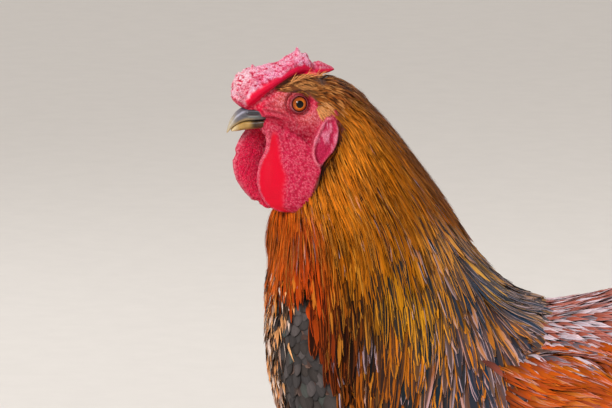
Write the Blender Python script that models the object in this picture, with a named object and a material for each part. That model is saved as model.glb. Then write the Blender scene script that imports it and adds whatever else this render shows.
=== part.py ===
"""A rose-combed Wyandotte cock, standing still, as a life-size museum model.

The bird faces -Y, its own left side is +X and the floor is z = 0. Each part of the body is a
loft through a few rings, and where two parts meet, the later one is cut back from the earlier.
Sizes in the tables below are millimetres, with y = 0 at the front of the breast.
"""

import math
from collections import namedtuple

import bmesh
import bpy
from mathutils import Matrix, Vector

MM = 0.001

# Spaces between neighbouring parts, so that no two solids touch
SEAM = 0.42
FINE_SEAM = 0.3
MOST_SHELL = 2.5  # how much further a sharp corner may move than a flat face

# Pose: the head looks a little to the bird's left
HEAD_TURN = math.radians(14)
HEAD_PIVOT_Y = 45

NECK_SIDES = 18

# Eye
EYE_PLACE = (10.7, 15.2, 469.2)
EYE_RADIUS = 7.0

# Beak: the line along which it shuts
GAPE_HEIGHT = 457.2
GAPE_BEND_Y = -14
GAPE_DROP = 0.05

# Legs
LEG_X = 50
HOCK = (LEG_X, 163, 108)
FOOT = (LEG_X, 143, 15)
FOOT_HEIGHT = 17
SOLE_RADIUS = 8
SPUR_SHARE = 0.66
SPUR_LENGTH = 20

Ring = namedtuple("Ring", "front back half_width widest", defaults=(0.5,))
Toe = namedtuple("Toe", "name heading length radius pads")

TOES = [
    Toe("inner", -34, 47, 5.2, 2),
    Toe("middle", 3, 63, 5.6, 3),
    Toe("outer", 38, 51, 5.0, 3),
    Toe("hind", 166, 27, 4.6, 1),
]


# ---------------------------------------------------------------- materials


def material(name, colour, roughness, metallic=0.0):
    """A plain Principled material."""
    made = bpy.data.materials.get(name) or bpy.data.materials.new(name)
    made.use_nodes = True
    shader = made.node_tree.nodes["Principled BSDF"]
    shader.inputs["Base Color"].default_value = (*colour, 1)
    shader.inputs["Roughness"].default_value = roughness
    shader.inputs["Metallic"].default_value = metallic
    made.diffuse_color = (*colour, 1)
    return made


FINISHES = {
    "comb_skin": ((0.76, 0.05, 0.09), 0.45),
    "face_skin": ((0.62, 0.07, 0.09), 0.55),
    "earlobe_skin": ((0.60, 0.09, 0.16), 0.5),
    "ear_tuft": ((0.45, 0.27, 0.12), 0.8),
    "beak_horn": ((0.42, 0.36, 0.26), 0.3),
    "eye_orange": ((0.70, 0.20, 0.02), 0.05),
    "hackle_gold": ((0.45, 0.17, 0.02), 0.5),
    "breast_slate": ((0.10, 0.10, 0.11), 0.6),
    "wing_red": ((0.40, 0.10, 0.02), 0.5),
    "tail_black": ((0.02, 0.03, 0.03), 0.35),
    "thigh_slate": ((0.09, 0.09, 0.10), 0.7),
    "leg_yellow": ((0.56, 0.38, 0.10), 0.5),
    "claw_horn": ((0.35, 0.27, 0.18), 0.35),
}


def finish(piece, name):
    """Gives a piece its material."""
    piece.data.materials.clear()
    piece.data.materials.append(material(name, *FINISHES[name]))
    return piece


# ---------------------------------------------------------------- lofting


def smooth_between(values, share):
    """Catmull-Rom value between the middle two of four tuples."""
    before, first, second, after = values
    t, t2, t3 = share, share**2, share**3
    return tuple(
        0.5 * (2 * b + (c - a) * t + (2 * a - 5 * b + 4 * c - d) * t2 + (3 * b - a - 3 * c + d) * t3)
        for a, b, c, d in zip(before, first, second, after)
    )


def refined(rows, steps):
    """The rows of numbers with steps - 1 smooth ones between each pair."""
    padded = [rows[0], *rows, rows[-1]]
    made = []
    for i in range(len(rows) - 1):
        made += [smooth_between(padded[i : i + 4], k / steps) for k in range(steps)]
    return made + [rows[-1]]


def round_wave(value, power):
    """A cosine or sine squared up: power 2 leaves it as it is."""
    return math.copysign(abs(value) ** (2 / power), value)


def solid(name, rings, limit=None):
    """A closed mesh through rings of points, with flat ends."""
    mesh = bmesh.new()
    place = limit or (lambda point: point)
    loops = [[mesh.verts.new(Vector(place(point)) * MM) for point in ring] for ring in rings]
    count = len(loops[0])
    for lower, upper in zip(loops, loops[1:]):
        for i in range(count):
            j = (i + 1) % count
            mesh.faces.new((lower[i], lower[j], upper[j], upper[i]))
    mesh.faces.new(loops[0])
    mesh.faces.new(loops[-1])
    bmesh.ops.triangulate(mesh, faces=mesh.faces)
    bmesh.ops.remove_doubles(mesh, verts=mesh.verts, dist=0.02 * MM)
    bmesh.ops.dissolve_degenerate(mesh, edges=mesh.edges, dist=0.01 * MM)
    bmesh.ops.recalc_face_normals(mesh, faces=mesh.faces)
    data = bpy.data.meshes.new(name)
    mesh.to_mesh(data)
    mesh.free()
    piece = bpy.data.objects.new(name, data)
    bpy.context.scene.collection.objects.link(piece)
    data.shade_smooth()
    return piece


def ring_points(ring, sides, power):
    """Points round one ring. Its front and back are (x, y, z), and it bulges along X."""
    front, back = Vector(ring.front), Vector(ring.back)
    middle = front.lerp(back, ring.widest)
    made = []
    for k in range(sides):
        angle = 2 * math.pi * k / sides
        along = round_wave(math.cos(angle), power)
        across = round_wave(math.sin(angle), power)
        point = middle + ((back - middle) if along > 0 else (middle - front)) * along
        point.x += ring.half_width * across
        made.append(point)
    return made


def loft(name, rings, sides=20, steps=2, power=2.0, limit=None):
    """A solid through the rings, smoothed between them."""
    rows = [(*r.front, *r.back, r.half_width, r.widest) for r in rings]
    full = [Ring(row[0:3], row[3:6], *row[6:]) for row in refined(rows, steps)]
    return solid(name, [ring_points(ring, sides, power) for ring in full], limit)


def upright_rings(table):
    """Rings that stand across the body: (y, top, bottom, half width)."""
    return [Ring((0, y, bottom), (0, y, top), half) for y, top, bottom, half in table]


def level_rings(table):
    """Rings that lie flat: (z, front x, front y, back x, back y, half thickness)."""
    return [Ring((fx, fy, z), (bx, by, z), half) for z, fx, fy, bx, by, half in table]


def limb(name, path, sides=10, steps=2, flatness=1.0, limit=None):
    """A tapering rod through (x, y, z, radius)."""
    rows = refined(path, steps)
    rings = []
    for i, row in enumerate(rows):
        ahead, behind = rows[min(i + 1, len(rows) - 1)], rows[max(i - 1, 0)]
        heading = (Vector(ahead[:3]) - Vector(behind[:3])).normalized()
        side = heading.cross(Vector((0, 0, 1)))
        side = side.normalized() if side.length > 0.2 else Vector((1, 0, 0))
        rise = side.cross(heading).normalized()
        angles = [2 * math.pi * (k + 0.5) / sides for k in range(sides)]
        rings.append(
            [
                Vector(row[:3])
                + side * (row[3] * math.cos(a))
                + rise * (row[3] * flatness * math.sin(a))
                for a in angles
            ]
        )
    return solid(name, rings, limit)


def blade(name, path, thickness, sides=6, steps=2):
    """A long flat feather on edge through (x, y, z, breadth)."""
    rows = refined(path, steps)
    rings = []
    for i, row in enumerate(rows):
        ahead, behind = rows[min(i + 1, len(rows) - 1)], rows[max(i - 1, 0)]
        heading = Vector((0, ahead[1] - behind[1], ahead[2] - behind[2])).normalized()
        out = Vector((0, -heading.z, heading.y)) * (row[3] / 2)
        centre = Vector(row[:3])
        rings.append(ring_points(Ring(centre - out, centre + out, thickness / 2), sides, 2))
    return solid(name, rings)


def mirrored_path(path, side):
    """The path with its x on the given side: +1 left, -1 right."""
    return [(side * row[0], *row[1:]) for row in path]


# ---------------------------------------------------------------- cutting


def swollen(piece, gap):
    """A copy of the piece whose every face stands the gap further out."""
    mesh = bmesh.new()
    mesh.from_mesh(piece.data)
    mesh.normal_update()
    moves = [v.normal * min(v.calc_shell_factor(), MOST_SHELL) for v in mesh.verts]
    for vertex, move in zip(mesh.verts, moves):
        vertex.co += move * gap * MM
    data = bpy.data.meshes.new(piece.name + "_room")
    mesh.to_mesh(data)
    mesh.free()
    copy = bpy.data.objects.new(data.name, data)
    bpy.context.scene.collection.objects.link(copy)
    return copy


def keep_largest(mesh):
    """Drops the loose scraps that a cut leaves."""
    left, islands = set(mesh.verts), []
    while left:
        island, edge = set(), [left.pop()]
        while edge:
            vertex = edge.pop()
            island.add(vertex)
            near = [e.other_vert(vertex) for e in vertex.link_edges]
            edge += [v for v in near if v in left]
            left.difference_update(near)
        islands.append(island)
    largest = max(islands, key=len)
    scraps = [v for island in islands if island is not largest for v in island]
    bmesh.ops.delete(mesh, geom=scraps, context="VERTS")


def cut(piece, *others, gap=SEAM):
    """Takes the other pieces, and a thin gap round each, out of this one."""
    for other in others:
        room = swollen(other, gap)
        modifier = piece.modifiers.new("cut", "BOOLEAN")
        modifier.operation = "DIFFERENCE"
        modifier.solver = "EXACT"
        modifier.object = room
        depsgraph = bpy.context.evaluated_depsgraph_get()
        data = bpy.data.meshes.new_from_object(piece.evaluated_get(depsgraph))
        piece.modifiers.remove(modifier)
        piece.data = data
        bpy.data.objects.remove(room)
        mesh = bmesh.new()
        mesh.from_mesh(piece.data)
        bmesh.ops.remove_doubles(mesh, verts=mesh.verts, dist=0.005 * MM)
        bmesh.ops.dissolve_degenerate(mesh, edges=mesh.edges, dist=0.005 * MM)
        keep_largest(mesh)
        mesh.to_mesh(piece.data)
        mesh.free()
    piece.data.name = piece.name
    return piece


def turned(piece):
    """Swings a part of the head round with the head."""
    pivot = Matrix.Translation((0, HEAD_PIVOT_Y * MM, 0))
    piece.data.transform(pivot @ Matrix.Rotation(HEAD_TURN, 4, "Z") @ pivot.inverted())
    return piece


# ---------------------------------------------------------------- head


def make_head():
    table = [
        (-8, 467, 450, 7.8),
        (-4, 470, 448, 9.8),
        (3, 475, 445.5, 12.9),
        (11, 480, 442, 15.7),
        (19, 483, 438.5, 17.4),
        (29.5, 484.5, 434.5, 18.9),
        (40, 483.5, 432, 19.6),
        (50, 479, 434, 18),
        (57.5, 473, 440, 13),
        (61.5, 466, 448, 6),
    ]
    return finish(turned(loft("head", upright_rings(table), sides=14, steps=2, power=2.15)), "face_skin")


def gape(y):
    """Height of the line along which the beak shuts."""
    return GAPE_HEIGHT - GAPE_DROP * max(0, GAPE_BEND_Y - y) ** 2


def make_beak_upper():
    table = [
        (0, 468, 455, 8.6),
        (-8, 466.2, 454.5, 7.5),
        (-14, 464.5, 454, 6.3),
        (-19, 461.8, 453.5, 4.7),
        (-23, 457.6, 451.6, 2.8),
        (-25.4, 454.2, 450.7, 1.4),
        (-26.5, 451.8, 450.5, 0.6),
    ]

    def above_gape(point):
        return (point[0], point[1], max(point[2], gape(point[1]) + 0.17))

    piece = loft("beak_upper", upright_rings(table), sides=12, steps=1, limit=above_gape)
    return finish(turned(piece), "beak_horn")


def make_beak_lower():
    table = [
        (0, 460, 450.4, 7.6),
        (-8, 459.5, 450.6, 6.4),
        (-14, 459, 451.2, 5.2),
        (-19, 457.8, 452, 3.6),
        (-22.4, 454.5, 452.4, 1.8),
    ]

    def below_gape(point):
        return (point[0], point[1], min(point[2], gape(point[1]) - 0.17))

    piece = loft("beak_lower", upright_rings(table), sides=12, steps=1, limit=below_gape)
    return finish(turned(piece), "beak_horn")


def make_comb():
    table = [
        (-22.5, 478, 472, 5),
        (-20.5, 482.5, 467, 9.5),
        (-15, 487, 465, 13.4),
        (-8.5, 490, 465.5, 14.6),
        (0.8, 491.5, 470.5, 15),
        (9, 494, 475.5, 14.2),
        (16, 497.5, 479, 12.6),
        (21, 497, 482, 10),
        (27, 494.5, 484.5, 7),
        (34, 493, 486, 4.4),
        (41, 489.8, 487.6, 1),
    ]

    def knobbly(point):
        """Small even knobs over the comb's upper side."""
        x, y, z = point
        knob = 0.5 + 0.5 * math.sin(1.15 * y) * math.cos(0.9 * x)
        return (x, y, z + (1.5 * knob if z > 480 and y < 24 else 0))

    rings = upright_rings(table)
    return finish(turned(loft("comb", rings, sides=10, steps=2, power=2.3, limit=knobbly)), "comb_skin")


def make_wattle(name, table):
    return finish(turned(loft(name, level_rings(table), sides=10, steps=1, power=2.3)), "comb_skin")


def make_wattles():
    left = [
        (456, 7, -3, 14, 8, 3),
        (450, 7.5, -7, 16.5, 17, 3.8),
        (440, 8, -9.8, 20.5, 25, 4),
        (427, 8.5, -10.6, 23.5, 27.5, 4),
        (414, 9.5, -7.5, 23.5, 24.5, 3.8),
        (405, 11, -1.8, 20, 19, 3.2),
        (401, 13, 4.7, 15.5, 12.4, 2),
    ]
    right = [
        (454, -7, -7, -14, 8, 3),
        (449, -7.5, -12, -16.5, 15, 3.8),
        (442, -8, -17, -20, 21, 4),
        (433, -8.5, -20, -22.5, 25, 4),
        (421, -9, -19, -23, 25, 4),
        (409, -10.5, -12, -20.5, 19, 3.5),
        (401, -13, -3, -15.5, 8, 2),
    ]
    return make_wattle("wattle_left", left), make_wattle("wattle_right", right)


def make_earlobe(side, word):
    table = [
        (461, 19, 28.5, 18.5, 36.5, 2.2),
        (453, 19.2, 22.7, 20.2, 39.2, 2.8),
        (443, 19.2, 21.7, 20.8, 36.6, 3),
        (435, 19.8, 23.2, 20.8, 31, 2.6),
        (430.5, 20.6, 25.3, 20.8, 27.8, 1.6),
    ]
    rings = level_rings([(z, side * fx, fy, side * bx, by, h) for z, fx, fy, bx, by, h in table])
    piece = loft("earlobe_" + word, rings, sides=10, steps=1, power=2.2)
    return finish(turned(piece), "earlobe_skin")


def make_ear(side, word):
    """The tuft of bristles that covers the ear's opening."""
    table = [
        (470.5, 18, 31, 18.4, 34.5, 1.4),
        (467.5, 18, 27.5, 18.8, 37, 2.3),
        (463.5, 18, 25, 18.8, 36.5, 2.6),
        (459.5, 18.3, 24, 18.8, 32, 2.4),
    ]
    rings = level_rings([(z, side * fx, fy, side * bx, by, h) for z, fx, fy, bx, by, h in table])
    return finish(turned(loft("ear_" + word, rings, sides=8, steps=1)), "ear_tuft")


def make_eye(side, word):
    """The ball, seated in the head so that only its clear front shows."""
    x, y, z = EYE_PLACE
    mesh = bmesh.new()
    bmesh.ops.create_uvsphere(mesh, u_segments=12, v_segments=8, radius=EYE_RADIUS * MM)
    axis = Matrix.Rotation(math.radians(90), 4, "Y")
    place = Matrix.Translation(Vector((side * x, y, z)) * MM)
    bmesh.ops.transform(mesh, matrix=place @ axis, verts=mesh.verts)
    data = bpy.data.meshes.new("eye_" + word)
    mesh.to_mesh(data)
    mesh.free()
    data.shade_smooth()
    piece = bpy.data.objects.new("eye_" + word, data)
    bpy.context.scene.collection.objects.link(piece)
    return finish(turned(piece), "eye_orange")


# ---------------------------------------------------------------- body


def make_trunk():
    table = [
        (-0.4, 352, 318, 6),
        (0.6, 364, 306, 17),
        (2.6, 371, 293, 29),
        (8, 374, 272, 44),
        (20, 374, 245, 60),
        (40, 370, 216, 73),
        (65, 362, 190, 82),
        (100, 350, 169, 88),
        (150, 342, 158, 91),
        (178, 341.5, 157, 92),
        (205, 346, 159, 91),
        (235, 353, 167, 86),
        (262, 364, 182, 76),
        (285, 377, 204, 60),
        (305, 378, 232, 42),
        (319, 364, 263, 23),
        (326, 346, 284, 9),
    ]
    return finish(loft("trunk", upright_rings(table), sides=18, steps=1, power=2.15), "breast_slate")


def neck_points(front, side, back, hug, sides):
    """Points round one ring of the neck, through its front, left side and back.

    Hug is 0 where the ring is a plain oval, and 1 where it lies on the shoulders as the edge
    of the cape: straight down behind the shoulder, and parted over the breast.
    """
    made = []
    for k in range(sides):
        angle = 2 * math.pi * k / sides
        along, across = math.cos(angle), math.sin(angle)
        reach, width = abs(along), abs(across)
        if along > 0:
            x = side.x * width
            y = side.y + (back.y - side.y) * reach ** (1 - 0.78 * hug)
            z = side.z + (back.z - side.z) * reach
        else:
            x = side.x * width ** (1.7 - 0.7 * hug)
            y = side.y + (front.y - side.y) * reach ** (1 + 0.15 * hug)
            oval = side.z + (front.z - side.z) * reach
            parted = front.z + (side.z - front.z) * width**3
            z = oval + (parted - oval) * hug
        made.append(Vector((math.copysign(x, across), y, z)))
    return made


def make_neck():
    """The neck and its hackle cape, whose lower edge lies over the shoulders and breast."""
    table = [
        # front y, z; side x, y, z; back y, z; hug
        (24, 448, 14, 41, 462, 52, 472, 0),
        (21, 438, 20, 46, 456, 61, 466.5, 0),
        (15, 426, 26.5, 51, 445.5, 71, 456.5, 0),
        (8, 411, 34, 55, 428, 84, 439, 0),
        (0, 394, 43, 57, 408, 98, 420, 0),
        (-1, 383, 53, 60, 390, 110.5, 402, 0.05),
        (-1, 376, 65, 64, 360, 126, 376.5, 0.25),
        (-0.5, 373.5, 78, 72, 325, 144, 357, 0.5),
        (0, 372, 88, 80, 292, 160, 348, 0.8),
        (1, 371, 93.5, 88, 262, 176, 344, 1),
        # from here the underside closes inside the trunk
        (30, 350, 66, 88, 290, 150, 320, 1),
        (70, 330, 20, 88, 310, 110, 318, 1),
    ]
    rings = []
    for fy, fz, sx, sy, sz, by, bz, hug in refined(table, 2):
        front, side, back = Vector((0, fy, fz)), Vector((sx, sy, sz)), Vector((0, by, bz))
        rings.append(neck_points(front, side, back, hug, NECK_SIDES))
    return finish(solid("neck", rings), "hackle_gold")


def make_wing(side, word):
    table = [
        # y, low x, low z, high x, high z, half thickness
        (52, 72, 284, 71, 294, 4),
        (64, 77, 262, 72, 312, 8),
        (90, 83, 246, 74, 321, 11),
        (125, 87, 236, 72, 325, 13),
        (165, 91, 231, 70, 325, 15),
        (205, 91, 231, 73, 318, 14),
        (240, 85, 237, 73, 307, 12),
        (268, 76, 246, 69, 296, 10),
        (292, 65, 255, 62, 284, 7),
        (308, 55, 263, 54, 274, 3),
    ]
    rings = [Ring((side * lx, y, lz), (side * hx, y, hz), h) for y, lx, lz, hx, hz, h in table]
    return finish(loft("wing_" + word, rings, sides=12, steps=1), "wing_red")


def make_tail():
    table = [
        # low y, low z, high y, high z, half width
        (286, 252, 262, 346, 40),
        (304, 264, 272, 366, 41),
        (332, 286, 287, 392, 35),
        (360, 313, 308, 417, 27),
        (386, 344, 334, 438, 19),
        (405, 374, 360, 451, 12),
        (413, 398, 380, 453, 6),
        (412, 415, 394, 446, 2),
    ]
    rings = [Ring((0, ly, lz), (0, hy, hz), h, 0.38) for ly, lz, hy, hz, h in table]
    return finish(loft("tail", rings, sides=14, steps=1), "tail_black")


def make_sickle(side, word):
    path = [
        (6, 272, 358, 10),
        (7, 286, 392, 20),
        (9, 308, 428, 25),
        (12, 338, 455, 27),
        (15, 370, 465, 27),
        (18, 402, 456, 25),
        (20, 427, 430, 21),
        (22, 440, 398, 15),
        (23, 444, 372, 8),
        (23, 444, 358, 2),
    ]
    return finish(blade("sickle_" + word, mirrored_path(path, side), 3), "tail_black")


# ---------------------------------------------------------------- legs


def make_thigh(side, word):
    table = [
        # z, middle x, middle y, half width, half length
        (236, 46, 150, 33, 54),
        (205, 53, 152, 35, 54),
        (178, 55, 154, 34, 49),
        (158, 55, 157, 29, 41),
        (140, 54, 160, 22, 31),
        (124, 52, 162, 16, 21),
        (108, 50.5, 163, 11.5, 12.5),
    ]
    rings = [Ring((side * x, y - r, z), (side * x, y + r, z), h) for z, x, y, h, r in table]
    return finish(loft("thigh_" + word, rings, sides=16, steps=1), "thigh_slate")


def make_shank(side, word):
    hock, foot = Vector(HOCK), Vector(FOOT)
    shape = [(-0.1, 8), (0, 9.6), (0.12, 8.2), (0.3, 7), (0.62, 6.9), (0.85, 7.6), (0.96, 8.2)]
    path = [(*hock.lerp(foot, share), radius) for share, radius in shape]
    return finish(limb("shank_" + word, mirrored_path(path, side), sides=10, steps=1), "leg_yellow")


def make_spur(side, word):
    root = Vector(HOCK).lerp(Vector(FOOT), SPUR_SHARE)
    inward, back, up = Vector((-1, 0, 0)), Vector((0, 1, 0)), Vector((0, 0, 1))
    path = []
    for share, radius in ((0, 4.6), (0.35, 4.3), (0.7, 2.8), (1, 0.7)):
        reach = SPUR_LENGTH * share
        place = root + inward * reach * 0.72 + back * reach * 0.66 + up * reach * share * 0.35
        path.append((*place, radius))
    return finish(limb("spur_" + word, mirrored_path(path, side), sides=6, steps=1), "claw_horn")


def make_foot(side, word):
    """The ball of the foot, flat underneath, that the toes spread from."""
    x, y, _ = FOOT
    shape = [(0, SOLE_RADIUS), (3, 10), (9, 10), (14, 9), (FOOT_HEIGHT, 7)]
    rings = [Ring((side * x, y - r, z), (side * x, y + r, z), r) for z, r in shape]
    return finish(loft("foot_" + word, rings, sides=12, steps=1), "leg_yellow")


def toe_heading(side, toe):
    angle = math.radians(toe.heading)
    return Vector((side * math.sin(angle), -math.cos(angle), 0))


def on_floor(point):
    """Presses whatever lies below the floor flat on to it."""
    return (point[0], point[1], max(point[2], 0.0))


def make_toe(side, word, toe):
    """A toe with a pad under each joint; the pads are flat where they bear on the floor."""
    root, heading = Vector((side * LEG_X, FOOT[1], 0)), toe_heading(side, toe)
    path = []
    stops = 3 * toe.pads
    for k in range(stops + 1):
        share = k / stops
        pad = 0.5 - 0.5 * math.cos(2 * math.pi * share * toe.pads)
        radius = toe.radius * (1 - 0.25 * share) * (0.84 + 0.16 * pad)
        rise = max(0, 1 - share * 4) * 3.5
        place = root + heading * (6 + (toe.length - 6) * share)
        path.append((place.x, place.y, radius * 0.86 + rise, radius))
    name = "toe_" + word + "_" + toe.name
    return finish(limb(name, path, sides=8, steps=1, limit=on_floor), "leg_yellow")


def make_claw(side, word, toe):
    root, heading = Vector((side * LEG_X, FOOT[1], 0)), toe_heading(side, toe)
    path = []
    for share, height, radius in ((0, 4.3, 2.9), (0.3, 5.4, 2.8), (0.65, 4.4, 2), (1, 1.3, 0.7)):
        place = root + heading * (toe.length - 3 + 16 * share)
        path.append((place.x, place.y, height, radius))
    name = "claw_" + word + "_" + toe.name
    return finish(limb(name, path, sides=6, steps=1, limit=on_floor), "claw_horn")


def make_leg(side, word, trunk, wing):
    thigh = cut(make_thigh(side, word), trunk, wing)
    shank = make_shank(side, word)
    foot = make_foot(side, word)
    cut(shank, thigh, foot, gap=FINE_SEAM)
    cut(make_spur(side, word), shank, gap=FINE_SEAM)
    toes = []
    for toe in TOES:
        toes.append(cut(make_toe(side, word, toe), foot, *toes, gap=FINE_SEAM))
        cut(make_claw(side, word, toe), toes[-1], gap=FINE_SEAM)


# ---------------------------------------------------------------- assembly


def make_head_parts():
    """The head and all that sits on it, each cut back from what it grows on."""
    eyes = [make_eye(1, "left"), make_eye(-1, "right")]
    head = cut(make_head(), *eyes, gap=FINE_SEAM)
    beak_upper = cut(make_beak_upper(), head, gap=FINE_SEAM)
    beak_lower = cut(make_beak_lower(), head, gap=FINE_SEAM)
    comb = cut(make_comb(), head, beak_upper, gap=FINE_SEAM)
    lobes = [cut(make_earlobe(s, w), head, gap=FINE_SEAM) for s, w in ((1, "left"), (-1, "right"))]
    ears = []
    for lobe, (side, word) in zip(lobes, ((1, "left"), (-1, "right"))):
        ears.append(cut(make_ear(side, word), head, lobe, gap=FINE_SEAM))
    wattles = []
    for wattle, lobe in zip(make_wattles(), lobes):
        wattles.append(cut(wattle, head, beak_lower, lobe, gap=FINE_SEAM))
    return [head, comb, *lobes, *ears, *wattles]


def put_origin_at_floor_centre():
    """Slides the bird along the floor until its box is centred on the origin."""
    pieces = list(bpy.context.scene.collection.objects)
    corners = [v.co for piece in pieces for v in piece.data.vertices]
    middle_x = (min(c.x for c in corners) + max(c.x for c in corners)) / 2
    middle_y = (min(c.y for c in corners) + max(c.y for c in corners)) / 2
    for piece in pieces:
        piece.data.transform(Matrix.Translation((-middle_x, -middle_y, 0)))


def build():
    for leftover in list(bpy.data.objects):
        bpy.data.objects.remove(leftover)
    head_parts = make_head_parts()
    trunk = make_trunk()
    neck = make_neck()
    tail = cut(make_tail(), trunk)
    for side, word in ((1, "left"), (-1, "right")):
        cut(make_sickle(side, word), trunk, tail)
        wing = cut(make_wing(side, word), trunk, neck)
        make_leg(side, word, trunk, wing)
    cut(neck, trunk, *head_parts)
    put_origin_at_floor_centre()


build()
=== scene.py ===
"""The looks of a rose-combed Wyandotte cock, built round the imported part.

One skin covers the flesh and lies inside the feathered solids. Every feather is a thin mesh
vane rooted on it. Sizes are millimetres, in the frame that the part's own tables use (y = 0 at
the front of the breast); to_world() turns them into the row's metres.
"""

import math

import bmesh
import bpy
import numpy as np
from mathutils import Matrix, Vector
from mathutils.bvhtree import BVHTree
from mathutils.kdtree import KDTree


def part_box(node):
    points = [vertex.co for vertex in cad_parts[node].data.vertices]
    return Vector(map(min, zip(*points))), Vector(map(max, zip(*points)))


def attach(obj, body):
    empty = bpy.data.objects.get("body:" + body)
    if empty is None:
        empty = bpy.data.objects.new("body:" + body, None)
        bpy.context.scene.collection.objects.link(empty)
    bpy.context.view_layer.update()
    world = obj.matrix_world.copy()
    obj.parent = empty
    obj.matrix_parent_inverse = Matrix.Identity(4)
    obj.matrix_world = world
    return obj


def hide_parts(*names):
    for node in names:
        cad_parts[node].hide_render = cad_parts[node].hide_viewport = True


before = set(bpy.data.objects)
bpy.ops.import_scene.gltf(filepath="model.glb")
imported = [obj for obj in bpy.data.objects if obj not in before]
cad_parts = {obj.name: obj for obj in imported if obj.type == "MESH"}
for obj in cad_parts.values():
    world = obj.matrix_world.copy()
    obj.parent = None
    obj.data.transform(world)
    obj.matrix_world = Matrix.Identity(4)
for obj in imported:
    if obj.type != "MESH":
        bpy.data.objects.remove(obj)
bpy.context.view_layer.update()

MM = 0.001
SIDES = ((1, "left"), (-1, "right"))

# The foot's place in the part's own tables gives the shift between the two frames
FOOT = (50, 143, 15)
foot_low, foot_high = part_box("foot_left")
SHIFT = np.array([0, (foot_low.y + foot_high.y) / 2 / MM - FOOT[1], 0])

# Pose and main sizes of the head
HEAD_TURN = math.radians(14)
HEAD_PIVOT_Y = 45
EYE_PLACE = (10.7, 15.2, 469.2)
EYE_RADIUS = 7.0
IRIS_RADIUS = 4.35
PUPIL_RADIUS = 2.35

# Legs
HOCK = (50, 163, 108)
FOOT_HEIGHT = 17
SPUR_SHARE = 0.66
SPUR_LENGTH = 20
TOES = {  # heading in degrees, length, radius, pads
    "inner": (-34, 47, 5.2, 2),
    "middle": (3, 63, 5.6, 3),
    "outer": (38, 51, 5.0, 3),
    "hind": (166, 27, 4.6, 1),
}
LEG_TOP = 112  # scales below, feathers above

random = np.random.default_rng(11)


# ---------------------------------------------------------------- numbers


def to_world(points):
    """Millimetres in the part's own tables to metres in the row's frame."""
    return (np.asarray(points) + SHIFT) * MM


def from_world(points):
    return np.asarray(points) / MM - SHIFT


def srgb(red, green, blue):
    """A colour given as 0 to 255 on screen, as linear light."""
    share = np.array([red, green, blue]) / 255
    return np.where(share <= 0.04045, share / 12.92, ((share + 0.055) / 1.055) ** 2.4)


def unit(vectors):
    return vectors / np.maximum(np.linalg.norm(vectors, axis=-1, keepdims=True), 1e-9)


def ramp(values, start, end):
    """0 before start, 1 after end, and smooth between; start may be the larger."""
    share = np.clip((values - start) / (end - start), 0, 1)
    return share * share * (3 - 2 * share)


def bump(values, middle, width):
    """A smooth hill, 1 at the middle."""
    return np.exp(-(((values - middle) / width) ** 2))


def mix(first, second, share):
    share = np.asarray(share)[..., None]
    return first * (1 - share) + second * share


def lattice_value(cells, seed):
    """A steady random number from 0 to 1 for each whole-numbered cell."""
    cells = cells.astype(np.int64)
    mixed = cells[..., 0] * 73856093 ^ cells[..., 1] * 19349663 ^ cells[..., 2] * 83492791 ^ seed * 2654435
    mixed = (mixed ^ (mixed >> 13)) * 1274126177 & 0x7FFFFFFF
    mixed = (mixed ^ (mixed >> 16)) * 69069 & 0x7FFFFFFF
    return (mixed % 65521) / 65521


def noise(points, size, seed=0):
    """Smooth noise from -1 to 1 with features of the given size."""
    scaled = np.asarray(points) / size
    base = np.floor(scaled)
    share = scaled - base
    share = share * share * (3 - 2 * share)
    total = np.zeros(scaled.shape[:-1])
    for corner in np.ndindex(2, 2, 2):
        weight = np.prod(np.where(corner, share, 1 - share), axis=-1)
        total += weight * lattice_value(base + corner, seed)
    return total * 2 - 1


def pebbles(points, size, seed=0):
    """Rounded grains: 1 at the middle of each and 0 in the furrows between."""
    scaled = np.asarray(points) / size
    base = np.floor(scaled)
    nearest = np.full(scaled.shape[:-1], 9.0)
    for corner in np.ndindex(3, 3, 3):
        cell = base + np.array(corner) - 1
        jitter = np.stack([lattice_value(cell, seed + k) for k in (1, 2, 3)], -1)
        gap = np.linalg.norm(cell + jitter - scaled, axis=-1)
        nearest = np.minimum(nearest, gap)
    return 1 - np.clip(nearest / 0.85, 0, 1) ** 2


def curve(rows, steps):
    """Rows of numbers with smooth ones between them (a Catmull-Rom spline)."""
    rows = np.array(rows, float)
    padded = np.vstack([rows[:1], rows, rows[-1:]])
    share = (np.arange(steps) / steps)[:, None]
    made = []
    for before, first, second, after in zip(padded, padded[1:], padded[2:], padded[3:]):
        straight = 2 * first + (second - before) * share
        bent = (2 * before - 5 * first + 4 * second - after) * share**2
        made.append(0.5 * (straight + bent + (3 * first - before - 3 * second + after) * share**3))
    return np.vstack([*made, rows[-1:]])


def turned(points, angle=HEAD_TURN):
    """Swings points of the head round with the head."""
    c, s = math.cos(angle), math.sin(angle)
    x, y, z = (points - [0, HEAD_PIVOT_Y, 0]).T
    return np.stack([x * c - y * s, x * s + y * c + HEAD_PIVOT_Y, z], -1)


def unturned(points):
    """Where points would be if the head looked straight ahead."""
    return turned(points, -HEAD_TURN)


def ring_of_angles(count):
    return np.linspace(0, 2 * math.pi, count, endpoint=False)


# ---------------------------------------------------------------- meshes


def show(name, data):
    """A new object in the scene."""
    made = bpy.data.objects.new(name, data)
    bpy.context.scene.collection.objects.link(made)
    return made


def mesh_object(name, points, *face_sets):
    """An object from points in millimetres and arrays of faces."""
    data = bpy.data.meshes.new(name)
    corners = np.concatenate([faces.ravel() for faces in face_sets]).astype(np.int32)
    sizes = np.concatenate([np.full(len(faces), faces.shape[1]) for faces in face_sets])
    data.vertices.add(len(points))
    data.vertices.foreach_set("co", to_world(points).ravel().astype(np.float32))
    data.loops.add(len(corners))
    data.loops.foreach_set("vertex_index", corners)
    data.polygons.add(len(sizes))
    data.polygons.foreach_set("loop_start", (np.cumsum(sizes) - sizes).astype(np.int32))
    data.update(calc_edges=True)
    data.shade_smooth()
    return show(name, data)


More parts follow.
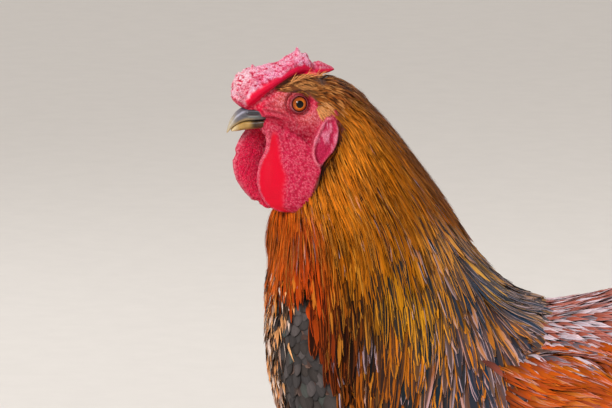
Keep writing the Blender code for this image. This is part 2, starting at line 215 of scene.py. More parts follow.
def points_of(piece):
    flat = np.empty(len(piece.data.vertices) * 3, np.float32)
    piece.data.vertices.foreach_get("co", flat)
    return from_world(flat.reshape(-1, 3).astype(float))


def set_points(piece, points):
    piece.data.vertices.foreach_set("co", to_world(points).ravel().astype(np.float32))
    piece.data.update()


def triangles_of(piece):
    piece.data.calc_loop_triangles()
    flat = np.empty(len(piece.data.loop_triangles) * 3, np.int32)
    piece.data.loop_triangles.foreach_get("vertices", flat)
    return flat.reshape(-1, 3)


def normals_of(points, triangles):
    """Smooth outward normals at the points."""
    a, b, c = (points[triangles[:, k]] for k in range(3))
    across = np.cross(b - a, c - a)
    total = np.zeros_like(points)
    for k in range(3):
        for axis in range(3):
            total[:, axis] += np.bincount(triangles[:, k], across[:, axis], len(points))
    return unit(total)


def edges_of(piece):
    flat = np.empty(len(piece.data.edges) * 2, np.int32)
    piece.data.edges.foreach_get("vertices", flat)
    return flat.reshape(-1, 2)


def smoothed(points, edges, rounds, strength=0.5):
    """Points eased towards their neighbours; strength may differ from point to point."""
    size = len(points)
    ends, others = np.concatenate([edges, edges[:, ::-1]]).T
    count = np.bincount(ends, minlength=size)[:, None]
    share = np.broadcast_to(strength, size)[:, None]
    for _ in range(rounds):
        total = np.stack([np.bincount(ends, points[others, axis], size) for axis in range(3)], -1)
        points = points + (total / count - points) * share
    return points


def loft_arrays(rings):
    """Points and faces of a closed tube through equal rings of points."""
    count, sides = rings.shape[:2]
    index = np.arange(count * sides).reshape(count, sides)
    ahead = np.roll(index, -1, axis=1)
    walls = np.stack([index[:-1], ahead[:-1], ahead[1:], index[1:]], -1).reshape(-1, 4)
    start_cap = np.stack([ahead[0], index[0], np.full(sides, count * sides)], -1)
    end_cap = np.stack([index[-1], ahead[-1], np.full(sides, count * sides + 1)], -1)
    points = np.vstack([rings.reshape(-1, 3), rings[0].mean(0), rings[-1].mean(0)])
    return points, walls, np.concatenate([start_cap, end_cap])


def squared_wave(values, power):
    """A sine or cosine made boxier by a power above 2."""
    return np.copysign(np.abs(values) ** (2 / power), values)


def oval_rings(front, back, half, sides=56, power=2.15, widest=0.5):
    """Rings through front and back points that bulge along X by the half width."""
    angle = ring_of_angles(sides)
    along, across = squared_wave(np.cos(angle), power), squared_wave(np.sin(angle), power)
    middle = front + (back - front) * widest
    reach = np.where(along[None, :, None] > 0, (back - middle)[:, None], (middle - front)[:, None])
    rings = middle[:, None] + reach * along[None, :, None]
    rings[..., 0] += half[:, None] * across
    return rings


def upright_rings(table, steps=8, sides=56, power=2.15):
    """Rings through (y, top, bottom, half width)."""
    y, top, bottom, half = curve(table, steps).T
    nought = np.zeros_like(y)
    return oval_rings(np.stack([nought, y, bottom], -1), np.stack([nought, y, top], -1), half, sides, power)


def upright_loft(name, table, power=2.15):
    return closed(name, upright_rings(table, power=power))


def level_loft(name, table, power=2.3):
    """A body through (z, front x, front y, back x, back y, half thickness)."""
    z, fx, fy, bx, by, half = curve(table, 8).T
    rings = oval_rings(np.stack([fx, fy, z], -1), np.stack([bx, by, z], -1), half, power=power)
    return closed(name, rings)


def merged(mesh):
    """Joins points of a bmesh that lie on one another."""
    bmesh.ops.remove_doubles(mesh, verts=mesh.verts, dist=0.01 * MM)


def closed(name, rings):
    """A closed mesh whose faces all look outwards."""
    piece = mesh_object(name, *loft_arrays(rings))
    mesh = bmesh.new()
    mesh.from_mesh(piece.data)
    merged(mesh)
    bmesh.ops.recalc_face_normals(mesh, faces=mesh.faces)
    mesh.to_mesh(piece.data)
    mesh.free()
    return piece


def limb_rings(path, sides):
    """Rings round a path of (x, y, z, radius), and how far along it each one is."""
    centre, radius = path[:, :3], path[:, 3]
    heading = unit(np.gradient(centre, axis=0))
    side = np.cross(heading, [0, 0, 1.0])
    side = unit(np.where(np.linalg.norm(side, axis=-1, keepdims=True) > 0.2, side, [1.0, 0, 0]))
    rise = unit(np.cross(side, heading))
    angle = 2 * math.pi * np.arange(sides) / sides
    spread = side[:, None] * np.cos(angle)[None, :, None]
    spread = spread + rise[:, None] * np.sin(angle)[None, :, None]
    along = np.concatenate([[0], np.cumsum(np.linalg.norm(np.diff(centre, axis=0), axis=-1))])
    return centre[:, None] + spread * radius[:, None, None], spread, along


def applied(piece, kind, **settings):
    """Puts one modifier's result into the mesh."""
    modifier = piece.modifiers.new("shape", kind)
    for key, value in settings.items():
        setattr(modifier, key, value)
    graph = bpy.context.evaluated_depsgraph_get()
    data = bpy.data.meshes.new_from_object(piece.evaluated_get(graph))
    piece.modifiers.clear()
    old, piece.data = piece.data, data
    bpy.data.meshes.remove(old)
    return piece


def joined(name, pieces):
    """One object that holds the meshes of several, which are removed."""
    mesh = bmesh.new()
    for piece in pieces:
        mesh.from_mesh(piece.data)
        bpy.data.objects.remove(piece)
    return from_bmesh(name, mesh)


def from_bmesh(name, mesh):
    data = bpy.data.meshes.new(name)
    mesh.to_mesh(data)
    mesh.free()
    return show(name, data)


SOLID_SWELL = 0.5


def solid_copy(node):
    """A copy of a CAD node with its split points merged, standing a little further out."""
    mesh = bmesh.new()
    mesh.from_mesh(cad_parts[node].data)
    merged(mesh)
    mesh.normal_update()
    for vertex in mesh.verts:
        vertex.co += vertex.normal * SOLID_SWELL * MM
    return from_bmesh(node + "_copy", mesh)


def remeshed(piece, voxel):
    """Gives a mesh one even closed surface."""
    return applied(piece, "REMESH", mode="VOXEL", voxel_size=voxel * MM)


def envelope(name, nodes, voxel, rounds):
    """One smooth closed surface round the named CAD nodes."""
    piece = remeshed(joined(name, [solid_copy(node) for node in nodes]), voxel)
    set_points(piece, smoothed(points_of(piece), edges_of(piece), rounds))
    return piece


# ---------------------------------------------------------------- colours of the bare parts

COMB_RED = srgb(216, 4, 68)
COMB_PALE = srgb(255, 170, 212)
COMB_WHITE = srgb(255, 226, 238)
COMB_DEEP = srgb(150, 4, 40)
FACE_RED = srgb(204, 26, 68)
FACE_TAN = srgb(212, 104, 88)
FACE_PALE = srgb(250, 156, 172)
CHEEK_CRIMSON = srgb(158, 2, 38)
WATTLE_RED = srgb(214, 0, 40)
WATTLE_PINK = srgb(206, 6, 70)
RIM_PINK = srgb(246, 140, 158)
LOBE_CRIMSON = srgb(190, 20, 74)
LOBE_PALE = srgb(240, 152, 182)
LID_GREY = srgb(148, 108, 112)
LID_RED = srgb(84, 18, 32)
LID_BROW_SHADE = srgb(96, 52, 56)
LID_EDGE = srgb(26, 10, 10)
BAND_RED = srgb(236, 0, 58)
FRONT_RED = srgb(224, 2, 58)
FOLD_RED = srgb(132, 16, 40)
FAR_WATTLE_RED = srgb(255, 30, 84)
LEG_YELLOW = srgb(196, 150, 62)
LEG_PALE = srgb(216, 184, 112)
LEG_BROWN = srgb(112, 76, 34)

# ---------------------------------------------------------------- head

HEAD = [  # y, top, bottom, half width
    (-6, 466.5, 451.5, 6.2),
    (-3, 470, 449, 9),
    (3, 475, 445.5, 12.6),
    (11, 480, 442, 15.6),
    (19, 483, 438.5, 17.4),
    (29.5, 484.5, 434.5, 18.9),
    (40, 483.5, 432, 19.6),
    (50, 479, 434, 18),
    (57.5, 473, 440, 13),
    (61.5, 466, 448, 6),
]
LORE = [  # the face between the comb and the beak
    (-16.5, 468, 464.8, 3.5),
    (-13.5, 470.5, 464.2, 6.6),
    (-9, 474.5, 463.4, 9.4),
    (-3, 479, 455, 11.4),
    (3, 482.5, 452, 13.2),
    (9, 486, 452, 14.7),
    (15, 488, 456, 15.6),
    (24, 488, 462, 16.4),
    (31, 486, 468, 14),
]
NECK = [  # front y, z; side x, y, z; back y, z; how far it lies on the shoulders
    (24, 448, 14, 41, 462, 52, 472, 0),
    (21, 438, 20, 46, 456, 61, 466.5, 0),
    (15, 426, 26.5, 51, 445.5, 71, 456.5, 0),
    (8, 411, 34, 55, 428, 84, 439, 0),
    (0, 394, 43, 57, 408, 98, 420, 0),
    (-1, 383, 53, 60, 390, 110.5, 402, 0.05),
    (-1, 376, 65, 64, 360, 126, 376.5, 0.25),
    (-0.5, 373.5, 78, 72, 325, 144, 357, 0.5),
    (0, 372, 88, 80, 292, 160, 348, 0.8),
    (1, 371, 93.5, 88, 262, 176, 344, 1),
]
COMB = [  # y, top, bottom, half width
    (-22.5, 478.5, 472, 4.2),
    (-20.8, 483, 468.5, 8.6),
    (-16, 487.2, 465.8, 12.2),
    (-12, 489.3, 467.6, 13.6),
    (-7.5, 490.4, 471.8, 14.3),
    (-2, 491, 476.2, 14.8),
    (3, 492.2, 479.8, 14.7),
    (9, 494.8, 483.6, 14),
    (15, 498, 485.8, 12.8),
    (20, 498.8, 486.3, 10.6),
    (24, 496.6, 486, 8.6),
    (26.8, 492.6, 485.4, 6.4),
    (31.5, 493.8, 485.2, 5.4),
    (36.5, 491.9, 486.2, 3.4),
    (41, 489.8, 487.8, 0.8),
]
WATTLE_LEFT = [  # z, front x, front y, back x, back y, half thickness
    (459, 9.6, -5, 11, -2.4, 1.2),
    (456, 9.6, -6.3, 13.5, 3, 2.6),
    (450, 9.2, -4.8, 16.5, 14, 3.4),
    (445, 8.9, -4.4, 18.5, 20, 3.8),
    (440, 8.6, -5, 20.5, 25, 4),
    (434, 8.5, -8, 22, 26.5, 4),
    (427, 8.5, -9.7, 23.5, 27.5, 4),
    (420, 9, -10, 24, 26.5, 4),
    (415, 9.5, -9, 23.5, 24.5, 3.8),
    (409.5, 10.3, -6.4, 21.5, 21.5, 3.4),
    (405.5, 11, -3.2, 19.5, 18.5, 3),
    (402, 13, 5, 15.5, 13, 1.8),
]
WATTLE_RIGHT = [  # the same, for the right wattle
    (456, -7, -7, -13, 4, 2.4),
    (451, -7.3, -13, -15.5, 12, 3.4),
    (445, -7.8, -16.8, -18.5, 18, 3.9),
    (439, -8.2, -19.4, -21, 22, 4),
    (436, -8.3, -18.7, -22, 24, 4),
    (432, -8.5, -20.8, -22.5, 25, 4),
    (426, -8.7, -20.4, -23, 25.5, 4),
    (420, -9, -18.4, -23, 25, 4),
    (414, -9.6, -14.4, -22, 22.5, 3.8),
    (408, -10.5, -9, -20, 18, 3.4),
    (401, -13, -2, -15.5, 8, 2),
]
# The wattles' pale front rim and the smooth red band behind it: z, width
RIM_WIDTH = [(400, 0.8), (427, 0.9), (434, 1.2), (440, 1.7), (446, 2), (450, 3), (458, 5)]
RED_WIDTH = [(399, 2), (401, 3.5), (405, 7.5), (414, 13), (427, 14), (433, 11), (440, 6.5)]
RED_WIDTH += [(450, 3), (456, 1.5)]
# Folds on the side of the head: y, z
GAPE_FOLD = [(-10.5, 461.2), (-5, 462.2), (-0.5, 462.4), (4.5, 460.7), (8, 457.6), (8.6, 453.4), (7, 449)]
UPPER_FOLD = [(-4, 466.5), (0, 465.6), (5, 465), (10, 462), (13, 457)]
LOWER_FOLD = [(-5, 464), (2, 462.6), (9, 459.5)]
BROW_FOLD = [(3, 474), (9, 477), (16, 477.5), (22, 475), (26, 470)]
EARLOBE = [  # z, front x, front y, back x, back y, half thickness
    (461.5, 18.4, 31.5, 18.4, 36, 1.6),
    (458, 18.8, 28.8, 19.4, 38, 2.4),
    (453, 19.1, 25.6, 20.4, 38.9, 2.9),
    (447, 19.2, 22.9, 20.9, 38.4, 3),
    (443, 19.3, 21.9, 20.9, 37, 3),
    (439, 19.5, 21.3, 20.9, 34.4, 2.9),
    (435, 19.9, 22, 20.9, 31, 2.5),
    (430.5, 20.6, 25, 20.8, 27.6, 1.4),
]
CHEEK = [
    (448, 14, 22, 17, 27, 2),
    (442, 15, 18, 19.5, 28, 3.6),
    (434, 17, 19, 20.5, 27, 3),
]
HEAD_VOXEL = 0.66
EYE_OPENING = 4.75
EYE_INNER_X = 9  # points nearer the middle than this belong to no eye

# The edge between bare face and feathers: y at falling heights, behind which feathers grow
FEATHER_EDGE = [(486, 9), (481.5, 3), (478.5, 1.2), (476.5, 5), (475.6, 17), (474.2, 21.5), (470, 26.5)]
FEATHER_EDGE += [(464.5, 38.5), (453.4, 40.5), (439.6, 35), (423.8, 24.8), (409, 19.8), (400, 16)]


def table_at(table, column, values):
    """A column of a table read at other values of its first column."""
    rows = sorted(table)
    return np.interp(values, [row[0] for row in rows], [row[column] for row in rows])


def feather_edge(z):
    """The y behind which feathers grow, at a height."""
    heights, places = zip(*sorted(FEATHER_EDGE))
    return np.interp(z, heights, places)


def eye_ring(p):
    """How far points of the unturned head lie from the nearer eye's axis."""
    return np.hypot(p[:, 1] - EYE_PLACE[1], p[:, 2] - EYE_PLACE[2])


def from_line(y, z, line):
    """How far places on the head's side lie from a line, and whether they lie below it."""
    best, below = np.full(len(y), 1e9), np.zeros(len(y))
    for (y0, z0), (y1, z1) in zip(line, line[1:]):
        dy, dz = y1 - y0, z1 - z0
        along = np.clip(((y - y0) * dy + (z - z0) * dz) / (dy**2 + dz**2), 0, 1)
        off_y, off_z = y - y0 - along * dy, z - z0 - along * dz
        gap = np.hypot(off_y, off_z)
        below = np.where(gap < best, off_y * dz - off_z * dy > 0, below)
        best = np.minimum(gap, best)
    return best, below


def head_regions(p):
    """What each point of the unturned head belongs to, as shares from 0 to 1.

    With them: how high on the comb a point lies, and how far from edges of wattle and earlobe.
    """
    x, y, z = p.T
    out = np.abs(x)
    comb_low = table_at(COMB, 2, y) + 0.8 * ramp(y, 20, 12)
    comb_high = table_at(COMB, 1, y)
    rise = (z - comb_low) / (comb_high - comb_low + 0.1)
    in_comb = ramp(z, comb_low - 0.7, comb_low + 0.9) * ramp(y, 42, 41)
    near_side = x > 0
    front = np.where(near_side, table_at(WATTLE_LEFT, 2, z), table_at(WATTLE_RIGHT, 2, z))
    back = np.where(near_side, table_at(WATTLE_LEFT, 4, z), table_at(WATTLE_RIGHT, 4, z))
    in_wattle = ramp(z, 458, 450) * ramp(y, back + 4, back - 3) * ramp(y, front - 2, front - 0.5)
    lobe_front, lobe_back = table_at(EARLOBE, 2, z), table_at(EARLOBE, 4, z)
    lobe_edge = np.minimum(np.minimum(y - lobe_front, lobe_back - y), np.minimum(461.5 - z, z - 430.5) * 0.8)
    in_lobe = ramp(lobe_edge, -0.6, 0.5) * ramp(out, 16.2, 17.6)
    rim, red = table_at(RIM_WIDTH, 1, z), table_at(RED_WIDTH, 1, z)
    ahead = y - front
    wander = 1.6 * noise(p, 9, 40)
    smooth_red = ramp(ahead, rim - 0.4, rim + 0.8) * ramp(ahead + wander, rim + red + 2.4, rim + red - 2.2)
    return {
        "comb": in_comb * (1 - in_lobe),
        "comb_rise": rise,
        "front": ramp(y, -3, -7) * ramp(z, 463, 465) * ramp(z, comb_low + 3, comb_low - 1) * ramp(out, 3, 6),
        "wattle": in_wattle * (1 - in_lobe),
        "from_front": ahead,
        "to_back": back - y,
        "rim": bump(ahead, rim * 0.45, rim * 0.5) * in_wattle,
        "red": smooth_red * ramp(z, 457, 449) * in_wattle * near_side,
        "hollow": bump(ahead, rim + red / 2, red / 2 + 0.6) * np.minimum(red / 11, 1) * in_wattle,
        "lobe": in_lobe,
        "lobe_edge": lobe_edge,
        "lobe_front": y - lobe_front,
        "feathered": ramp(y - feather_edge(z), -1.5, 1.5) * (1 - in_comb) * (1 - in_lobe),
    }


def lid_height(r):
    """How far out (x) the skin round the eye stands, by distance from the eye's axis."""
    ball = EYE_PLACE[0] + np.sqrt(np.maximum(EYE_RADIUS**2 - r**2, 0))
    return ball + 0.25 + 0.55 * bump(r, 5.2, 0.55)


COMB_POINTS = [  # place, height and width of the larger points along the comb's top
    ((4, -10.8, 489), 4.6, 1.6),
    ((3, 17.3, 498.6), 4.2, 1.3),
    ((2, 22.5, 498), 1.8, 1.4),
    ((1, -18, 486), 3.2, 1.4),
    ((5, -21.5, 482), 2.8, 1.3),
    ((6, -14.5, 488.5), 2.0, 1.4),
    ((5, -7.5, 490.5), 1.8, 1.3),
    ((8, -21.5, 477), 2.4, 1.3),
    ((4, -22.5, 472.5), 1.8, 1.2),
    ((4, 13, 497), 1.6, 1.2),
    ((5, 6, 494), 1.2, 1.3),
]


def comb_grains(p):
    """The comb's coarse and fine grains."""
    return pebbles(p, 3.2, 5), pebbles(p, 1.5, 6)


def face_grain(p):
    """The grains of face and wattles."""
    return pebbles(p, 1.35, 12)


def lobe_ridges(p):
    """Fine upright ridges."""
    return noise(p * [1, 1.5, 0.5], 3.2, 3) + 0.5 * noise(p * [1, 1.8, 0.7], 1.5, 33)


def comb_grained(p, rise):
    """Where the comb is grained: above its smooth band and ahead of it, with a ragged edge."""
    y, z = p[:, 1], p[:, 2]
    ragged = noise(p, 4.2, 51) + 0.6 * noise(p, 1.8, 53)
    ahead = y - 8.0 * ramp(z, 471, 483) + 1.3 * ragged
    return np.maximum(ramp(rise + 0.1 * ragged, 0.44, 0.58), ramp(ahead, -16.2, -18.2))


def comb_relief(points, region):
    """The comb's grains and points, which its smooth lower band does without."""
    y = points[:, 1]
    rise = region["comb_rise"]
    grained = comb_grained(points, rise)
    top = region["comb"] * grained
    coarse, fine = comb_grains(points)
    move = top * (1.15 * coarse * (0.7 + 0.8 * noise(points, 6, 8)) + 0.5 * fine - 0.7)
    move += 0.7 * top * ramp(y, -12, -20) * (pebbles(points, 2.3, 54) - 0.3)
    spikes = pebbles(points * [1, 1, 0.3], 5.2, 31) ** 3 * (0.6 + 0.8 * noise(points, 9, 32))
    move += 2.0 * top * np.maximum(spikes, 0) * ramp(rise, 0.6, 0.95) * ramp(y, 24, 18)
    for place, height, width in COMB_POINTS:
        gap = ((points - place) ** 2).sum(-1)
        move += height * np.exp(-gap / width**2)
    band = region["comb"] * (1 - grained)
    return move + band * (1.1 * bump(rise, 0.26, 0.22) - 0.15)


def face_relief(points, region):
    """Grain, wrinkles and the folds at the corner of the beak."""
    x, y, z = points.T
    face = (1 - region["comb"]) * (1 - region["lobe"])
    rough = 1 - 0.95 * np.maximum(region["red"], region["front"])
    move = face * rough * (0.36 * face_grain(points) + 0.14 * noise(points, 2.6, 4) - 0.2)
    cheek = bump(z, 441, 13) * ramp(y, 5, 12) * face
    move += 0.2 * cheek * np.sin(z * 2.6 + y * 0.35 + 2.4 * noise(points, 7, 9))
    fold, below = from_line(y, z, GAPE_FOLD)
    beside = (np.abs(x) > 5) * face
    move += beside * (1.0 * bump(fold, 0, 1.3) - 0.8 * bump(fold, 2.4, 1.2) * below)
    upper, _ = from_line(y, z, UPPER_FOLD)
    move += beside * (0.6 * bump(upper, 0, 1.0) - 0.5 * bump(upper, 1.8, 0.8))
    brow, _ = from_line(y, z, BROW_FOLD)
    return move + 0.7 * bump(brow, 0, 1.7) * (np.abs(x) > EYE_INNER_X) * face


def wattle_relief(region, near_side):
    """The wattles' rim and the hollow behind it, deeper on the near one, and their back edge."""
    move = 0.8 * region["rim"] - np.where(near_side, 1.5, 0.5) * region["hollow"]
    return move, region["wattle"] * bump(region["to_back"], 1.2, 1.5) * 0.3


def lobe_relief(points, region):
    """The earlobe's rolled edge, dished middle and ridges."""
    edge = region["lobe_edge"]
    roll = 0.75 * (1.0 + 0.6 * ramp(region["lobe_front"], 4, 2)) * bump(edge, 1.3, 0.9)
    return region["lobe"] * (roll - 0.8 * ramp(edge, 1.6, 3.6) + 0.35 * lobe_ridges(points))


def with_lids(points, moved):
    """The lids close round the ball, and the skin passes behind it inside the opening."""
    side = np.sign(points[:, 0])
    r = eye_ring(points)
    near = ramp(r, 9.6, 6.2) * (np.abs(points[:, 0]) > EYE_INNER_X)
    lid = lid_height(r) + 0.16 * np.sin(r * 5.2 + 0.8 * noise(points, 3, 55)) * bump(r, 6.6, 1.4)
    out = np.abs(moved[:, 0]) * (1 - near) + lid * near
    out = np.where(r < EYE_OPENING, EYE_PLACE[0] + 2.6, out)
    moved[:, 0] = np.where(near > 0, side * out, moved[:, 0])
    return moved


def shape_head_skin(points, normals):
    """Folds, lids and grain on the unturned head."""
    region = head_regions(points)
    x, y, z = points.T
    move = comb_relief(points, region) + face_relief(points, region)
    outer_wattle, back_edge = wattle_relief(region, x > 0)
    move += (normals[:, 0] * np.sign(x) > 0.2) * outer_wattle + back_edge
    move += lobe_relief(points, region) - 1.1 * region["feathered"]
    moved = with_lids(points, points + normals * move[:, None])
    # the far wattle ends in a curve
    end = (x < 0) * ramp(z, 408, 401) * region["wattle"]
    moved[:, 2] += 3.4 * end * np.minimum(((y - 3) / 6) ** 2, 1.2)
    return moved


def comb_colours(p, region, drift):
    """Pale grains over crimson above, a smooth deep red band below, whiter in front. The paler and whiter
    grain tops are partly the comb's own pale papillae and partly painted highlight; the deep red in the
    furrows and pits between the grains and along the comb's foot is painted shade.
    """
    y, rise = p[:, 1], region["comb_rise"]
    coarse, fine = comb_grains(p)
    grains = coarse * 0.45 + fine * 0.55
    # Whiter towards the front and the top, and pale to white on the grain tops below: partly the comb's own
    # pale papillae, partly painted highlight.
    pale = mix(COMB_PALE, COMB_WHITE, ramp(y, -8, -18) * 0.7 + 0.3 * ramp(rise, 0.7, 1.0))
    some = (0.6 + 0.4 * drift) * (1 - 0.6 * ramp(y, 24, 31))
    some = some * (1 - 0.5 * ramp(noise(p, 6.5, 52), 0.05, 0.5))
    colour = mix(COMB_RED, pale, ramp(grains, 0.3, 0.6) * some)
    colour = mix(colour, COMB_WHITE, ramp(grains, 0.66, 0.85) * some * 0.6)
    # Deep red in the furrows between the grains: painted shade.
    colour = mix(colour, COMB_DEEP, ramp(grains, 0.3, 0.16) * 0.55)
    smooth = mix(COMB_RED, BAND_RED, 0.3 + 0.7 * ramp(y, 4, -8))
    colour = mix(smooth, colour, comb_grained(p, rise))
    # Deep red in the pits: painted shade.
    pits = ramp(fine, 0.3, 0.1) * bump(rise, 0.62, 0.12)
    colour = mix(colour, COMB_DEEP, pits * 0.6)
    # Deep red along the comb's foot, in the groove where it meets the head: painted shade.
    return mix(colour, COMB_DEEP, ramp(rise, 0.14, -0.02) * ramp(y, -8, 6) * 0.75)


def face_colours(p, region, grain, drift):
    """Red skin with pale dots, tan before and behind the eye, dark in its folds. The pale dots on the grain
    tops are partly the skin's own and partly painted highlight; the crimson between the grains and the
    darkness in and below the folds are painted shade.
    """
    y, z = p[:, 1], p[:, 2]
    colour = mix(FACE_RED, CHEEK_CRIMSON, ramp(z, 466, 446) * 0.85)
    lore = np.exp(-((y - 3) ** 2) / 60 - (z - 470) ** 2 / 60)
    tan = lore + 0.9 * bump(z, 461, 5) * bump(y, 22, 9) + bump(z, 477, 5) * bump(y, 9, 9)
    tan = np.clip(tan, 0, 1)
    colour = mix(colour, FACE_TAN, tan * (0.35 + 0.5 * drift))
    under_comb = bump(z, table_at(COMB, 2, y) - 1, 5) * ramp(y, 14, 0) * (1 - region["comb"])
    colour = mix(colour, COMB_RED, under_comb * 0.6)
    colour = mix(colour, FRONT_RED, region["front"])
    # Pale dots on the grain tops: partly the skin's own, partly painted highlight.
    colour = mix(colour, FACE_PALE, ramp(grain, 0.5, 0.85) * (0.16 + 0.3 * tan + 0.16 * drift))
    # Crimson between the grains: painted shade.
    colour = mix(colour, CHEEK_CRIMSON, ramp(grain, 0.3, 0.05) * 0.7)
    # Crimson in the groove below the fold at the beak's corner: painted shade.
    fold, below = from_line(y, z, GAPE_FOLD)
    colour = mix(colour, CHEEK_CRIMSON, bump(fold, 2.4, 1.3) * below * 0.8)
    # Dark red beside the wrinkles: painted shade in their creases.
    for line in (UPPER_FOLD, LOWER_FOLD):
        fold, _ = from_line(y, z, line)
        colour = mix(colour, FOLD_RED, bump(fold, 1.8, 0.5) * 0.5 * ramp(y, 14, 6))
    return colour


def wattle_colours(region, grain, drift, near_side):
    """Dotted pink with a pale rim, and a smooth band: red on the near wattle, bright on the far, where the
    brightness is painted light. The pale dots on the grain tops are partly the skin's own and partly painted
    highlight; the crimson between the grains is painted shade.
    """
    ahead, dots = region["from_front"], ramp(grain, 0.5, 0.85)
    # Crimson between the grains: painted shade.
    colour = mix(WATTLE_PINK, CHEEK_CRIMSON, ramp(grain, 0.45, 0.12) * 0.8)
    colour = mix(colour, FACE_RED, 0.4 * drift)
    # Pale dots on the grain tops: partly the skin's own, partly painted highlight.
    colour = mix(colour, RIM_PINK, dots * (0.34 + 0.2 * ~near_side))
    # The far wattle's front painted brighter: painted light that stands in for the light its shaded place
    # doesn't get.
    far_painted_light = ramp(ahead, 0, 4) * ramp(ahead, 19, 12) * ~near_side
    colour = mix(colour, FAR_WATTLE_RED, far_painted_light * (0.9 - 0.3 * dots))
    colour = mix(colour, WATTLE_RED, region["red"])
    return mix(colour, RIM_PINK, region["rim"] * (0.3 + 0.3 * dots))


def lobe_colours(p, region):
    """Pale ridges over crimson, with a pale rolled edge, and crimson painted shade where the edge meets the
    face.
    """
    edge = region["lobe_edge"]
    pale = ramp(lobe_ridges(p), -0.1, 0.7) * (0.3 + 0.7 * ramp(p[:, 2], 438, 452))
    colour = mix(LOBE_CRIMSON, LOBE_PALE, pale * 0.85)
    colour = mix(colour, RIM_PINK, bump(edge, 1.0, 0.8) * (0.3 + 0.5 * ramp(region["lobe_front"], 5, 2)))
    # Crimson at the lobe's edge, where it meets the face: painted shade.
    return mix(colour, CHEEK_CRIMSON, ramp(edge, 0.3, -0.4) * 0.7)


def with_lid_colours(p, colour, drift):
    """Grey lids with a dark red crease round them, nearly black at the eye. The crease's red is darkened as
    painted shade, and the lids turn browner towards the top as painted shade of the brow.
    """
    r = np.where(np.abs(p[:, 0]) > EYE_INNER_X, eye_ring(p), 99)
    # The dark red ring in the crease: the skin's red, darkened as painted shade of the crease.
    colour = mix(colour, LID_RED, bump(r, 6.0, 0.42) * 0.85)
    # Browner towards the top: painted shade under the brow.
    lid = mix(LID_GREY, LID_BROW_SHADE, ramp(p[:, 2], 468, 473) * 0.8 + 0.2 * drift)
    colour = mix(colour, lid, bump(r, 5.3, 0.4) * 0.9)
    return mix(colour, LID_EDGE, ramp(r, 5.1, 4.85))


def head_colours(p):
    """Colour of the bare skin, its regions and how smooth it is, on the unturned head."""
    region = head_regions(p)
    grain = face_grain(p)
    drift = noise(p, 6, 21) * 0.5 + 0.5
    colour = face_colours(p, region, grain, drift)
    colour = mix(colour, wattle_colours(region, grain, drift, p[:, 0] > 0), region["wattle"])
    colour = mix(colour, comb_colours(p, region, drift), region["comb"])
    colour = mix(colour, lobe_colours(p, region), region["lobe"])
    colour = with_lid_colours(p, colour, drift)
    shine = np.clip(0.2 + 0.6 * np.maximum(region["red"], region["front"]), 0, 1)
    low_comb = region["comb"] * ramp(region["comb_rise"], 0.6, 0.4) * ramp(p[:, 1], -21, -16)
    return colour, region, np.maximum(shine, 0.6 * low_comb)


def make_head_skin():
    """The bare head at full detail, in its turned pose, as one closed mesh."""
    pieces = [
        upright_loft("skull", HEAD),
        upright_loft("lore", LORE, 2.8),
        upright_loft("comb_base", COMB, 2.3),
        level_loft("wattle_base_left", WATTLE_LEFT),
        level_loft("wattle_base_right", WATTLE_RIGHT),
    ]
    for side, word in SIDES:
        for name, table, power in (("cheek_", CHEEK, 2.3), ("lobe_base_", EARLOBE, 2.2)):
            mirrored = [(z, side * fx, fy, side * bx, by, half) for z, fx, fy, bx, by, half in table]
            pieces.append(level_loft(name + word, mirrored, power))
    skin = remeshed(joined("head_skin", pieces), HEAD_VOXEL)
    points, edges = points_of(skin), edges_of(skin)
    points = smoothed(points, edges, 5)
    joins = bump(points[:, 2], 451, 7) * ramp(points[:, 1], -9, -2)
    set_points(skin, smoothed(points, edges, 14, 0.5 * joins))
    refine_eyelids(skin)
    points = points_of(skin)
    set_points(skin, turned(shape_head_skin(points, normals_of(points, triangles_of(skin)))))
    return skin


LID_REACH = 8.4  # from the eye's axis


def refine_eyelids(skin):
    """Makes the mesh twice as fine round each eye."""
    mesh = bmesh.new()
    mesh.from_mesh(skin.data)
    for side, _ in SIDES:
        centre = Vector(to_world([side * EYE_PLACE[0], EYE_PLACE[1], EYE_PLACE[2]]))
        chosen = []
        for edge in mesh.edges:
            gap = (edge.verts[0].co - centre) / MM
            if gap.x * side > 0 and math.hypot(gap.y, gap.z) < LID_REACH:
                chosen.append(edge)
        bmesh.ops.subdivide_edges(mesh, edges=chosen, cuts=1, use_grid_fill=True)
    bmesh.ops.triangulate(mesh, faces=[f for f in mesh.faces if len(f.verts) > 4])
    mesh.to_mesh(skin.data)
    mesh.free()


# ---------------------------------------------------------------- legs


def scute_rings(path, sides, pitch, front, depth):
    """A scaled limb: overlapping plates down its front, small round scales elsewhere.

    The front is the direction in which the plates face. Also gives each point's furrow.
    """
    rings, spread, along = limb_rings(path, sides)
    facing = ramp(spread @ np.array(front), -0.4, 0.0)
    uneven = 0.12 * np.cos(3 * ring_of_angles(sides))
    phase = (along / pitch)[:, None] + uneven[None]
    within = phase - np.floor(phase)
    plate = ramp(within, 0, 0.22) * (1 - 0.35 * within)
    scales = pebbles(rings * [1, 1, 0.9], 2.9, 40)
    height = facing * plate + (1 - facing) * scales * 0.75
    furrow = facing * ramp(within, 0.2, 0.04) + (1 - facing) * ramp(scales, 0.35, 0.1)
    return rings + spread * ((height - 0.75) * depth)[..., None], furrow


def toe_heading(side, heading):
    angle = math.radians(heading)
    return np.array([side * math.sin(angle), -math.cos(angle), 0])


